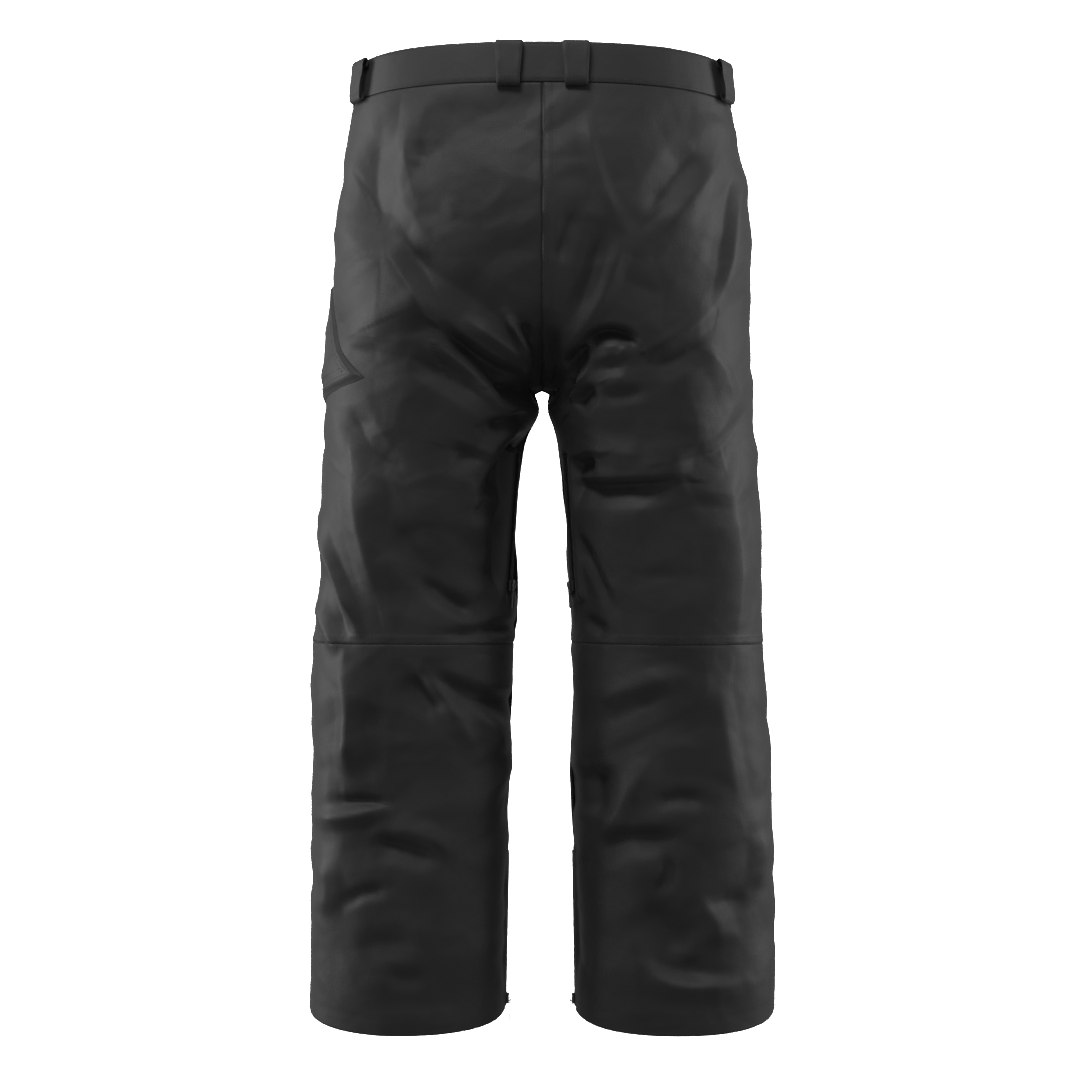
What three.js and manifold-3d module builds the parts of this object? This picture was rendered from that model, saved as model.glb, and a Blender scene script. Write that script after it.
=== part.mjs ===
// Insulated ski pants, standing as if worn, in millimetres.
// Origin: centre of the waist opening, level with its back edge. +Z up, +Y the way the wearer
// faces, +X to the wearer's right. Every cloth piece is a thin closed solid that follows one
// garment surface, skin(), so that panels, bands, patches and pockets always meet.
import * as THREE from "three";
import { mergeVertices } from "three/addons/utils/BufferGeometryUtils.js";
import Module from "manifold-3d";

const wasm = await Module();
wasm.setup();

// ---- Driving dimensions -------------------------------------------------------------------

const OUTSEAM = 1040; // waist edge to hem, down the side
const WAISTBAND_HEIGHT = 44;
const HIP_DEPTH = 200; // depths are measured down from the waist edge
const CROTCH_DEPTH = 361;
const THIGH_BELOW_CROTCH = 69; // where the inner legs have drawn apart
const KNEE_DEPTH = 640;
const SEAT_CURVE = 130; // height over which the seat seam turns under to the crotch
const FRONT_DROP = 30; // the waist sits this much lower in front
const HEEL_DROP = 20; // the hem hangs this much lower at the heel

const WAIST = { outer: 202, back: 118, front: 108 }; // half width, depth behind and in front
const HIP = { outer: 223, back: 148, front: 116 };
const CROTCH = { outer: 232, inner: 0, back: 128, front: 112 }; // inner: half gap between legs
const THIGH = { outer: 236, inner: 17, back: 116, front: 108 };
const KNEE = { outer: 246, inner: 30, back: 90, front: 88 };
const HEM = { outer: 255, inner: 38, back: 80, front: 70 };
const SEAT_SQUARENESS = 2.45; // exponents of the sections: 2 is an ellipse
const LEG_SQUARENESS = 2.35;

const CLOTH = 3; // shell, insulation and lining together
const FACING = 2;
const GAP = 0.4; // between neighbouring pieces
const KNEE_BEND = 70; // degrees that the lower legs fold back
const KNEE_SPARE = 1; // degrees of clearance beside each knee pleat

const TAB = { left: 40, right: 42 }; // waist tab's ends, either side of the centre front
const SNAP = { radius: 7.5, shank: 2.2, socket: 3.4, head: 2.9 };
const SNAP_PLACES = [2, 28]; // to the right of the centre front
const LOOP = { width: 28, strap: 2.2, belt: 6.5, pad: 6, below: 5 };
const ZIP = { tape: 7, tapeThick: 1, chain: 3, chainHigh: 2.6, stop: 3 };
const SLIDER = { half: 5, long: 12, wall: 1.4, crown: 3.4 };
const PULL = { half: 3.6, bar: 0.7, eye: 8, long: 26, thick: 1.4 };
const FLY_LENGTH = 150;
const HAND_ZIP = { top: 0.665, bottom: 0.585, start: 68, end: 218 };
const VENT = { at: 0.06, start: 436, length: 150 };
const HEM_ZIP_LENGTH = 172;
const POCKET = { high: 250, rear: 0.475, rearLow: 0.345, front: 0.615, lift: 1.5, thick: 3.6 };
const POCKET_FOOT = { rear: 356, front: 402 }; // its lower edge slants
const POCKET_ZIP = { at: 0.555, start: 270, end: 376 };
const BAG = { inner: 0.83, outer: 0.7, high: 54, low: 262 };
const GUARD = { inner: 0.965, outer: 0.8, high: 150, thick: 1.2 };
const GAITER = { top: 205, bottom: 44, high: 0.94, low: 0.74, thick: 1.2 };
const CUFF = { height: 30, thick: 2 };
const HOOK = { wire: 1.8, long: 20, gap: 3.2, width: 8 };

// ---- The garment surface ------------------------------------------------------------------

const STATIONS = [
  { depth: 0, inner: 0, ...WAIST },
  { depth: HIP_DEPTH, inner: 0, ...HIP },
  { depth: CROTCH_DEPTH, ...CROTCH },
  { depth: CROTCH_DEPTH + THIGH_BELOW_CROTCH, ...THIGH },
  { depth: KNEE_DEPTH, ...KNEE },
  { depth: OUTSEAM, ...HEM },
];

// A smooth curve through the stations that never overshoots one of them.
function along(key, depth) {
  const d = Math.min(Math.max(depth, 0), OUTSEAM);
  let i = 0;
  while (i < STATIONS.length - 2 && d > STATIONS[i + 1].depth) i += 1;
  const slope = (k) => {
    const a = STATIONS[k];
    const b = STATIONS[k + 1];
    return (b[key] - a[key]) / (b.depth - a.depth);
  };
  const tangent = (k) => {
    if (k === 0) return slope(0);
    if (k === STATIONS.length - 1) return slope(k - 1);
    const before = slope(k - 1);
    const after = slope(k);
    return before * after <= 0 ? 0 : (2 * before * after) / (before + after);
  };
  const a = STATIONS[i];
  const b = STATIONS[i + 1];
  const span = b.depth - a.depth;
  const t = (d - a.depth) / span;
  const rise = t * t * (3 - 2 * t);
  return (
    a[key] * (1 - rise) +
    b[key] * rise +
    span * (tangent(i) * t * (1 - t) ** 2 - tangent(i + 1) * t * t * (1 - t))
  );
}

const smooth = THREE.MathUtils.smoothstep;
const lerp = THREE.MathUtils.lerp;

// A signed power, which squares off an ellipse.
const squared = (x, n) => Math.sign(x) * Math.abs(x) ** (2 / n);

// How far the two legs have merged into one body: 0 at the crotch and 1 above the seat's curve.
const merged = (depth) => THREE.MathUtils.clamp((CROTCH_DEPTH - depth) / SEAT_CURVE, 0, 1) ** 1.7;

// The right half's outline at one depth. u runs from the centre back, or from the inseam below
// the crotch, round the outside of the leg at 0.5 to the centre front or the inseam again. Each
// leg is an oval; above the crotch it widens past the middle, which cuts it off at x = 0.
function outline(u, depth) {
  const share = merged(depth);
  const outer = along("outer", depth);
  const inner = depth < CROTCH_DEPTH ? -outer * share : along("inner", depth);
  const squareness = lerp(LEG_SQUARENESS, SEAT_SQUARENESS, share);
  const centre = (outer + inner) / 2;
  const width = (outer - inner) / 2;
  const middle = (along("front", depth) - along("back", depth)) / 2;
  const half = (along("front", depth) + along("back", depth)) / 2;
  const first = Math.acos(Math.min(1, centre / width) ** (squareness / 2));
  const turn = lerp(first, 2 * Math.PI - first, u);
  const x = centre - width * squared(Math.cos(turn), squareness);
  const y = middle - half * squared(Math.sin(turn), squareness);
  const waistward = 1 - smooth(depth, 0, HIP_DEPTH);
  const frontDrop = (FRONT_DROP * waistward * (1 - Math.sin(turn))) / 2;
  const heelDrop = HEEL_DROP * Math.max(0, Math.sin(turn)) * smooth(depth, KNEE_DEPTH, OUTSEAM);
  return new THREE.Vector3(x, y, -depth - frontDrop - heelDrop);
}

// The outward normal, from points beside this one on the same side of the garment.
function normalAt(u, depth) {
  const step = 0.004;
  const low = Math.max(0, u - step);
  const high = Math.min(1, u + step);
  const round = outline(high, depth).sub(outline(low, depth));
  const up = outline(u, depth - 2).sub(outline(u, depth + 2));
  return round.cross(up).normalize();
}

// A point of the garment. place is -1 to 0 on the left, from centre front to centre back, and
// 0 to 1 on the right, from centre back to centre front. offset is outwards from the cloth.
function skin(place, depth, offset = 0) {
  const u = Math.abs(place);
  const point = outline(u, depth).addScaledVector(normalAt(u, depth), offset);
  point.x = Math.max(point.x, 0) + GAP / 2;
  if (place < 0) point.x = -point.x;
  return point;
}

// The place on the front of the waist that lies this far right of the centre front.
function frontPlace(x, depth) {
  let low = 0.5;
  let high = 1;
  for (let i = 0; i < 40; i += 1) {
    const middle = (low + high) / 2;
    if (outline(middle, depth).x > Math.abs(x)) low = middle;
    else high = middle;
  }
  return x < 0 ? -low : low;
}

// ---- Solids -------------------------------------------------------------------------------

function toSolid(geometry) {
  const bare = geometry.index ? geometry.toNonIndexed() : geometry.clone();
  bare.deleteAttribute("normal");
  bare.deleteAttribute("uv");
  const merged = mergeVertices(bare, 1e-4);
  return new wasm.Manifold(
    new wasm.Mesh({
      numProp: 3,
      vertProperties: merged.attributes.position.array,
      triVerts: new Uint32Array(merged.index.array),
    }),
  );
}

function toGeometry(solid) {
  const { vertProperties, triVerts, numProp, numVert } = solid.getMesh();
  const points = new Float32Array(numVert * 3);
  for (let i = 0; i < numVert; i += 1) {
    points.set(vertProperties.subarray(i * numProp, i * numProp + 3), i * 3);
  }
  const geometry = new THREE.BufferGeometry();
  geometry.setAttribute("position", new THREE.BufferAttribute(points, 3));
  geometry.setIndex(new THREE.BufferAttribute(new Uint32Array(triVerts), 1));
  geometry.computeVertexNormals();
  return geometry;
}

function box(low, high) {
  const size = high.map((v, k) => v - low[k]);
  const centre = high.map((v, k) => (v + low[k]) / 2);
  return new THREE.BoxGeometry(...size).translate(...centre);
}

function join(...geometries) {
  return toGeometry(geometries.map(toSolid).reduce((a, b) => a.add(b)));
}

// Equal steps from one value to another, each no longer than most.
function steps(from, to, most) {
  const count = Math.max(1, Math.ceil(Math.abs(to - from) / most - 1e-9));
  return Array.from({ length: count + 1 }, (_, i) => lerp(from, to, i / count));
}

// A closed sheet between two offsets from the skin. at(a, b) gives its [place, depth, scale]
// for a along the cloth and b down it, both lists from 0 to 1; a tube closes on itself.
function sheet({ across, down, at, outside, inside, tube = false }) {
  const columns = across.length;
  const rows = down.length;
  const corner = (a, b, offset) => {
    const [place, depth, scale] = at(a, b);
    return scale === undefined ? skin(place, depth, offset) : inLeg(place, depth, scale, offset);
  };
  const points = [outside, inside].flatMap((offset) =>
    down.flatMap((b) => across.map((a) => corner(a, b, offset))),
  );
  const index = (layer, i, j) => layer * columns * rows + j * columns + (i % columns);
  const triangles = [];
  const quad = (p, q, r, s) => triangles.push(p, q, r, p, r, s);
  const spans = tube ? columns : columns - 1;
  for (let i = 0; i < spans; i += 1) {
    for (let j = 0; j < rows - 1; j += 1) {
      quad(index(0, i, j), index(0, i, j + 1), index(0, i + 1, j + 1), index(0, i + 1, j));
      quad(index(1, i, j), index(1, i + 1, j), index(1, i + 1, j + 1), index(1, i, j + 1));
    }
    const last = rows - 1;
    quad(index(0, i, 0), index(0, i + 1, 0), index(1, i + 1, 0), index(1, i, 0));
    quad(index(0, i, last), index(1, i, last), index(1, i + 1, last), index(0, i + 1, last));
  }
  for (let j = 0; !tube && j < rows - 1; j += 1) {
    const end = columns - 1;
    quad(index(0, 0, j), index(1, 0, j), index(1, 0, j + 1), index(0, 0, j + 1));
    quad(index(0, end, j), index(0, end, j + 1), index(1, end, j + 1), index(1, end, j));
  }
  const geometry = new THREE.BufferGeometry().setFromPoints(points);
  geometry.setIndex(triangles);
  geometry.computeVertexNormals();
  return geometry;
}

// A point inside a leg: its outline shrunk about the leg's own middle.
function inLeg(place, depth, scale, offset) {
  const middle = outline(0.5, depth).add(outline(0, depth)).multiplyScalar(0.5);
  const point = outline(Math.abs(place), depth);
  point.x = lerp(middle.x, point.x, scale);
  point.y = lerp(middle.y, point.y, scale);
  const normal = normalAt(Math.abs(place), depth).setZ(0).normalize();
  point.addScaledVector(normal, offset);
  if (place < 0) point.x = -point.x;
  return point;
}

// The depths at which a panel has its rows, close together where the seat turns under.
function levels(from, to) {
  const fine = [0, 0.02, 0.06, 0.13, 0.25, 0.42, 0.68, 1].map((t) => CROTCH_DEPTH - t * SEAT_CURVE);
  const coarse = [...fine.filter((d) => d > from + 8 && d < to - 8), from, to].sort((a, b) => a - b);
  return coarse.flatMap((d, i) => (i === 0 ? [d] : steps(coarse[i - 1], d, 62).slice(1)));
}

// ---- Materials ----------------------------------------------------------------------------

const finish = (color, roughness, metalness = 0) =>
  new THREE.MeshStandardMaterial({ color, roughness, metalness });

const MATERIALS = {
  shell: finish(0x2e2e2f, 0.72),
  guard: finish(0x1d1d1e, 0.8),
  facing: finish(0x3a3b3d, 0.9),
  pocketing: finish(0x2a2b2d, 0.85),
  gaiter: finish(0x232426, 0.7),
  elastic: finish(0x161617, 0.75),
  tape: finish(0x141415, 0.7),
  metal: finish(0x2b2b2d, 0.35, 0.9),
};

const pants = new THREE.Group();
pants.name = "ski_pants";

function addMesh(name, geometry, material, parent = pants) {
  const mesh = new THREE.Mesh(geometry, material);
  mesh.name = name;
  parent.add(mesh);
  return mesh;
}

const SIDES = [
  { name: "left", sign: -1 },
  { name: "right", sign: 1 },
];

// ---- Zips ---------------------------------------------------------------------------------

// The frame of a straight fastening between two points of the cloth: local +Y up it, +Z outwards.
function frameBetween(top, bottom, outward) {
  const up = top.clone().sub(bottom).normalize();
  const out = outward.clone().addScaledVector(up, -outward.dot(up)).normalize();
  const group = new THREE.Group();
  const side = up.clone().cross(out);
  group.quaternion.setFromRotationMatrix(new THREE.Matrix4().makeBasis(side, up, out));
  group.position.copy(top);
  group.updateMatrix();
  return group;
}

function zipGeometry(length) {
  const { tape, tapeThick, chain, chainHigh, stop } = ZIP;
  const half = tapeThick / 2;
  const band = box([-tape, -length, -half], [tape, 0, half]);
  const teeth = box([-chain, -length + stop, 0], [chain, -stop, half + chainHigh]);
  return join(band, teeth);
}

// A channel over the chain, with a crown above it for the pull's bar to pass under.
function sliderGeometry() {
  const { half, long, wall, crown } = SLIDER;
  const low = ZIP.tapeThick / 2 + GAP;
  const roof = ZIP.tapeThick / 2 + ZIP.chainHigh + GAP;
  const inner = ZIP.chain + GAP;
  const top = roof + wall;
  const arm = 1.5;
  const plate = box([-half, -long / 2, roof], [half, long / 2, top]);
  const flanges = [-1, 1].map((s) => {
    const edges = [s * inner, s * half].sort((a, b) => a - b);
    return box([edges[0], -long / 2, low], [edges[1], long / 2, top]);
  });
  const posts = [-2.5, 3.5].map((y) => box([-1.2, y, roof], [1.2, y + arm, top + crown]));
  const bridge = box([-1.2, -2.5, top + crown - 1.4], [1.2, 3.5 + arm, top + crown]);
  return join(plate, ...flanges, ...posts, bridge);
}

// A flat pull whose eye holds the crosswise bar that it swings on, at its own origin.
function pullGeometry() {
  const { half, bar, eye, long, thick } = PULL;
  const blank = box([-half, -long, -thick / 2], [half, bar, thick / 2]);
  const hole = box([-2, -eye, -thick], [2, -bar, thick]);
  return toGeometry(toSolid(blank).subtract(toSolid(hole)));
}

const PULL_PIVOT = {
  y: 1.25,
  z: ZIP.tapeThick / 2 + ZIP.chainHigh + GAP + SLIDER.wall + PULL.thick / 2 + 0.3,
};

// Adds a closed zip to its frame and returns the room that it needs in the cloth. A zip that
// closes upwards rests with its slider at the top, and one that closes downwards at the bottom.
function addZip(name, frame, length, closesUp, spill = 0) {
  pants.add(frame);
  addMesh(`${name}_zip`, zipGeometry(length), MATERIALS.tape, frame);
  const rest = ZIP.stop + SLIDER.long / 2;
  const at = closesUp ? -rest : rest - length;
  const slider = addMesh(`${name}_slider`, sliderGeometry(), MATERIALS.metal, frame);
  slider.position.set(0, at, 0);
  const pull = addMesh(`${name}_pull`, pullGeometry(), MATERIALS.metal, frame);
  pull.position.set(0, at + PULL_PIVOT.y, PULL_PIVOT.z);
  const half = ZIP.tape + GAP;
  const room = box([-half, -length - GAP - spill, -25], [half, GAP, 25]);
  return toSolid(room.applyMatrix4(frame.matrix));
}

function cut(geometry, ...rooms) {
  return toGeometry(rooms.reduce((solid, room) => solid.subtract(room), toSolid(geometry)));
}

// A straight zip between two places on the cloth, as deep in it as its tape is thick.
function zipOnSkin(name, top, bottom, closesUp, offset = -CLOTH / 2, spill = 0) {
  const high = skin(...top, offset);
  const low = skin(...bottom, offset);
  const middle = [0, 1].map((k) => (top[k] + bottom[k]) / 2);
  const outward = skin(...middle, 1).sub(skin(...middle, 0));
  return addZip(name, frameBetween(high, low, outward), high.distanceTo(low), closesUp, spill);
}

// The fly lies on the centre front, between the two front panels.
function addFly() {
  const start = WAISTBAND_HEIGHT + 3;
  const points = [start, start + FLY_LENGTH].map((d) => skin(1, d, -CLOTH / 2).setX(0));
  const outward = new THREE.Vector3(0, 1, 0);
  return addZip("fly", frameBetween(...points, outward), points[0].distanceTo(points[1]), true);
}

// The hem zip lies on the inseam and runs out at the hem.
function addHemZip({ name, sign }) {
  const inset = CLOTH / 2;
  const points = [OUTSEAM - HEM_ZIP_LENGTH, OUTSEAM].map((d) => {
    const p = outline(0, d);
    return new THREE.Vector3(sign * (p.x + inset), p.y, p.z);
  });
  const frame = frameBetween(...points, new THREE.Vector3(-sign, 0, 0));
  return addZip(`${name}_hem`, frame, points[0].distanceTo(points[1]), false, 30);
}

// ---- Panels -------------------------------------------------------------------------------

const ACROSS = 12; // spans across each panel
const kneeMiddle = (KNEE.front - KNEE.back) / 2;

// The wedge behind the knee that the cloth gathers in: its edge is the knee's own pivot.
function kneeWedge(sign, spare) {
  const angle = THREE.MathUtils.degToRad(KNEE_BEND / 2 + KNEE_SPARE);
  const reach = KNEE.back * 2;
  const rise = reach * Math.tan(angle) + spare / Math.cos(angle);
  const lead = spare / Math.sin(angle);
  const side = new THREE.Shape([
    new THREE.Vector2(lead, 0),
    new THREE.Vector2(-reach, rise),
    new THREE.Vector2(-reach, -rise),
  ]);
  const width = KNEE.outer + 60;
  const wedge = new THREE.ExtrudeGeometry(side, { depth: width, bevelEnabled: false });
  wedge.rotateY(Math.PI / 2).rotateX(Math.PI / 2);
  wedge.translate(sign > 0 ? 0 : -width, kneeMiddle, -KNEE_DEPTH);
  return toSolid(wedge);
}

function panel(from, to, high, low) {
  const rows = levels(high, low);
  const seam = GAP / 2 / 300; // half a gap on a panel about 300 wide
  return sheet({
    across: steps(0, 1, 1 / ACROSS),
    down: rows,
    at: (a, depth) => [lerp(from + seam, to - seam, a), depth],
    outside: 0,
    inside: -CLOTH,
  });
}

function addPanels({ name, sign }, rooms) {
  const places = {
    back: [0, 0.5],
    front: [0.5, 1],
  };
  const [high, low] = [WAISTBAND_HEIGHT + GAP, OUTSEAM];
  for (const [part, ends] of Object.entries(places)) {
    const [from, to] = sign > 0 ? ends : [-ends[1], -ends[0]];
    const upper = panel(from, to, high, KNEE_DEPTH - GAP / 2);
    const lower = panel(from, to, KNEE_DEPTH + GAP / 2, low);
    const wide = part === "back" ? [kneeWedge(sign, GAP)] : [];
    const material = MATERIALS.shell;
    addMesh(`${name}_${part}_upper`, cut(upper, ...wide, ...rooms), material);
    addMesh(`${name}_${part}_lower`, cut(lower, ...wide, ...rooms), material);
  }
  const [from, to] = sign > 0 ? places.back : [-places.back[1], 0];
  const reach = KNEE.back * 1.5;
  const whole = panel(from, to, KNEE_DEPTH - reach, KNEE_DEPTH + reach);
  const pleat = toSolid(whole).intersect(kneeWedge(sign, -GAP));
  addMesh(`${name}_knee_pleat`, toGeometry(pleat), MATERIALS.shell);
}

// ---- Waist --------------------------------------------------------------------------------

function band(name, left, right, high, low, outside, inside, material, holes = []) {
  const geometry = sheet({
    across: steps(0, 1, 1 / Math.max(6, Math.round(Math.abs(right - left) * 28))),
    down: steps(high, low, 30),
    at: (a, depth) => [lerp(left, right, a), depth],
    outside,
    inside,
  });
  return addMesh(name, cut(geometry, ...holes), material);
}

const UNDERLAP = { outside: -7, inside: -9.5 };
const tabMiddle = WAISTBAND_HEIGHT / 2;

// The frame of a snap: local +Y outwards, its origin half way through the tab.
function snapFrame(x) {
  const place = frontPlace(x, tabMiddle);
  const centre = skin(place, tabMiddle, -CLOTH / 2);
  const outward = skin(place, tabMiddle, 1).sub(skin(place, tabMiddle, 0)).normalize();
  const group = new THREE.Group();
  group.quaternion.setFromUnitVectors(new THREE.Vector3(0, 1, 0), outward);
  group.position.copy(centre);
  group.updateMatrix();
  return group;
}

const lathe = (profile) =>
  new THREE.LatheGeometry(
    profile.map(([r, y]) => new THREE.Vector2(r, y)),
    20,
  );

function addSnap(name, x) {
  const frame = snapFrame(x);
  pants.add(frame);
  const { radius, shank, socket, head } = SNAP;
  const face = CLOTH / 2 + GAP;
  const back = -face - 2;
  const cap = lathe([
    [0, back + 1.5],
    [socket, back + 1.5],
    [socket, back],
    [radius - 1.5, back],
    [radius - 1.5, -face],
    [shank, -face],
    [shank, face],
    [radius, face],
    [radius - 0.6, face + 1.1],
    [radius / 2, face + 1.7],
    [0, face + 1.8],
  ]);
  addMesh(`${name}_cap`, cap, MATERIALS.metal, frame);
  const base = UNDERLAP.outside + CLOTH / 2 + 0.3;
  const stud = lathe([
    [0, base],
    [radius - 2, base],
    [radius - 2, base + 0.8],
    [head - 0.5, base + 0.8],
    [head - 0.5, base + 1.3],
    [head, base + 1.8],
    [head - 0.4, base + 2.3],
    [0, base + 2.4],
  ]);
  addMesh(`${name}_stud`, stud, MATERIALS.metal, frame);
  const hole = new THREE.CylinderGeometry(shank + GAP, shank + GAP, 10, 20);
  return toSolid(hole.applyMatrix4(frame.matrix));
}

function addWaist() {
  const high = 0;
  const low = WAISTBAND_HEIGHT;
  const left = frontPlace(-TAB.left, tabMiddle);
  const right = frontPlace(TAB.right, tabMiddle);
  const lap = 0.0016; // a gap, as a share of half the waist
  const { shell, facing } = MATERIALS;
  band("waistband", left + lap, right - lap, high, low, 0, -CLOTH, shell);
  const inner = -CLOTH - GAP;
  const facingEnd = frontPlace(TAB.right + 10, tabMiddle);
  band("waist_facing", left + lap, facingEnd, high + 2, low, inner, inner - FACING, facing);
  const holes = SNAP_PLACES.map((x, i) => addSnap(`waist_snap_${i + 1}`, x));
  addTab("waist_tab", TAB.left, TAB.right, [0, -CLOTH], shell, holes);
  const under = [UNDERLAP.outside, UNDERLAP.inside];
  addTab("waist_underlap", TAB.left - 10, TAB.right + 6, under, shell, []);
}

// A strip across the centre front, where the skin's two sides meet.
function addTab(name, left, right, [outside, inside], material, holes) {
  const spans = steps(-left, right, 9);
  const point = (x, depth, offset) => {
    const place = frontPlace(Math.abs(x), depth);
    const p = skin(place, depth, offset);
    const outward = skin(place, depth, offset + 1).sub(p);
    p.x = Math.abs(x) + outward.x * offset;
    return x < 0 ? p.setX(-p.x) : p;
  };
  const rows = [1, WAISTBAND_HEIGHT - 1];
  const section = (x) => [
    point(x, rows[0], outside),
    point(x, rows[1], outside),
    point(x, rows[1], inside),
    point(x, rows[0], inside),
  ];
  const rings = [...spans].reverse().map(section);
  const triangles = [];
  const quad = (p, q, r, s) => triangles.push(p, q, r, p, r, s);
  for (let i = 0; i < rings.length - 1; i += 1) {
    for (let k = 0; k < 4; k += 1) {
      const next = (k + 1) % 4;
      quad(i * 4 + k, i * 4 + next, (i + 1) * 4 + next, (i + 1) * 4 + k);
    }
  }
  const end = (rings.length - 1) * 4;
  quad(0, 3, 2, 1);
  quad(end, end + 1, end + 2, end + 3);
  const geometry = new THREE.BufferGeometry().setFromPoints(rings.flat());
  geometry.setIndex(triangles);
  addMesh(name, cut(geometry, ...holes), material);
}

// A belt loop: a strap that stands off the band and is sewn down at both ends.
function addLoop(name, place) {
  const { width, strap, belt, pad, below } = LOOP;
  const bottomDepth = WAISTBAND_HEIGHT + below;
  const top = skin(place, 1, GAP + 0.5);
  const bottom = skin(place, bottomDepth, GAP + 0.5);
  const outward = skin(place, tabMiddle, 1).sub(skin(place, tabMiddle, 0));
  const frame = frameBetween(top, bottom, outward);
  const length = top.distanceTo(bottom);
  const out = belt + strap;
  const side = new THREE.Shape();
  side.moveTo(0, 0);
  side.lineTo(out - 2, 0);
  side.quadraticCurveTo(out, 0, out, -2);
  side.lineTo(out, 2 - length);
  side.quadraticCurveTo(out, -length, out - 2, -length);
  side.lineTo(0, -length);
  side.lineTo(0, pad - length);
  side.lineTo(belt - 1.5, pad - length);
  side.quadraticCurveTo(belt, pad - length, belt, pad + 1.5 - length);
  side.lineTo(belt, -pad - 1.5 + 2);
  side.quadraticCurveTo(belt, -pad + 2, belt - 1.5, -pad + 2);
  side.lineTo(0, -pad + 2);
  const geometry = new THREE.ExtrudeGeometry(side, {
    depth: width,
    bevelEnabled: false,
    curveSegments: 3,
  });
  geometry.translate(0, 0, -width / 2).rotateY(-Math.PI / 2);
  pants.add(frame);
  addMesh(name, geometry, MATERIALS.shell, frame);
}

// ---- Patches and inner pieces -------------------------------------------------------------

// The cargo pocket on the left thigh, with a slanting rear edge, and its zip.
function addThighPocket() {
  const { high, rear, rearLow, front, lift, thick } = POCKET;
  const geometry = sheet({
    across: steps(0, 1, 1 / 12),
    down: steps(0, 1, 1 / 7),
    at: (a, b) => [
      -lerp(front, lerp(rear, rearLow, b), a),
      lerp(high, lerp(POCKET_FOOT.front, POCKET_FOOT.rear, a), b),
    ],
    outside: lift + thick,
    inside: lift,
  });
  const { at, start, end } = POCKET_ZIP;
  const [top, middle, bottom] = [start, (start + end) / 2, end].map((d) => skin(-at, d, 0));
  const outward = skin(-at, (start + end) / 2, 1).sub(middle);
  const bulge = middle.sub(top.lerp(bottom, 0.5)).dot(outward); // of the thigh past a straight zip
  const height = lift + thick - 1 + Math.max(0, bulge - lift);
  const room = zipOnSkin("thigh_pocket", [-at, start], [-at, end], true, height);
  addMesh("thigh_pocket", cut(geometry, room), MATERIALS.shell);
}

function addPocketBag({ name, sign }) {
  const { inner, outer, high, low } = BAG;
  const ends = sign > 0 ? [outer, inner] : [-inner, -outer];
  const inside = -CLOTH - 4;
  const geometry = sheet({
    across: steps(0, 1, 1 / 5),
    down: steps(0, 1, 1 / 5),
    at: (a, b) => [lerp(...ends, a), lerp(high, low, b)],
    outside: inside,
    inside: inside - 1.6,
  });
  addMesh(`${name}_pocket_bag`, geometry, MATERIALS.pocketing);
}

function addGuard({ name, sign }) {
  const { inner, outer, high, thick } = GUARD;
  const ends = sign > 0 ? [outer, inner] : [-inner, -outer];
  const geometry = sheet({
    across: steps(0, 1, 1 / 6),
    down: steps(OUTSEAM - high, OUTSEAM - 2, 50),
    at: (a, depth) => [lerp(...ends, a), depth],
    outside: GAP + thick,
    inside: GAP,
  });
  addMesh(`${name}_scuff_guard`, geometry, MATERIALS.guard);
}

// The gaiter hangs inside the hem and narrows to an elastic cuff.
function addGaiter({ name, sign }) {
  const { top, bottom, high, low, thick } = GAITER;
  const around = steps(0, 1, 1 / 20).slice(0, -1);
  const tube = (from, to, scales, outside, inside) =>
    sheet({
      across: around,
      down: steps(0, 1, 1 / 3),
      at: (a, b) => [sign > 0 ? a : a - 1, lerp(from, to, b), lerp(...scales, b)],
      outside,
      inside,
      tube: true,
    });
  const topDepth = OUTSEAM - top;
  const endDepth = OUTSEAM - bottom;
  const sleeve = tube(topDepth, endDepth, [high, low], -CLOTH, -CLOTH - thick);
  addMesh(`${name}_gaiter`, sleeve, MATERIALS.gaiter);
  const cuffTop = endDepth + GAP;
  const cuffEnd = cuffTop + CUFF.height;
  const cuff = tube(cuffTop, cuffEnd, [low, low], -CLOTH + 0.4, -CLOTH + 0.4 - CUFF.thick);
  addMesh(`${name}_gaiter_cuff`, cuff, MATERIALS.elastic);
  addLaceHook(name, sign, cuffTop);
}

// A bent hook on the front of the cuff, which catches a boot lace.
function addLaceHook(name, sign, depth) {
  const { wire, long, gap, width } = HOOK;
  const high = inLeg(sign * 0.75, depth, GAITER.low, -CLOTH + 0.4 + GAP + 0.4);
  const low = inLeg(sign * 0.75, depth + long, GAITER.low, -CLOTH + 0.4 + GAP + 0.4);
  const frame = frameBetween(high, low, new THREE.Vector3(0, 1, 0));
  const side = new THREE.Shape();
  side.moveTo(0, 0);
  side.lineTo(wire, 0);
  side.lineTo(wire, wire - long);
  side.lineTo(wire + gap, wire - long);
  side.lineTo(wire + gap, -long * 0.45);
  side.lineTo(wire * 2 + gap, -long * 0.45);
  side.lineTo(wire * 2 + gap, -long);
  side.lineTo(0, -long);
  const geometry = new THREE.ExtrudeGeometry(side, { depth: width, bevelEnabled: false });
  geometry.translate(0, 0, -width / 2).rotateY(-Math.PI / 2);
  pants.add(frame);
  addMesh(`${name}_lace_hook`, geometry, MATERIALS.metal, frame);
}

// ---- The garment --------------------------------------------------------------------------

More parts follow.
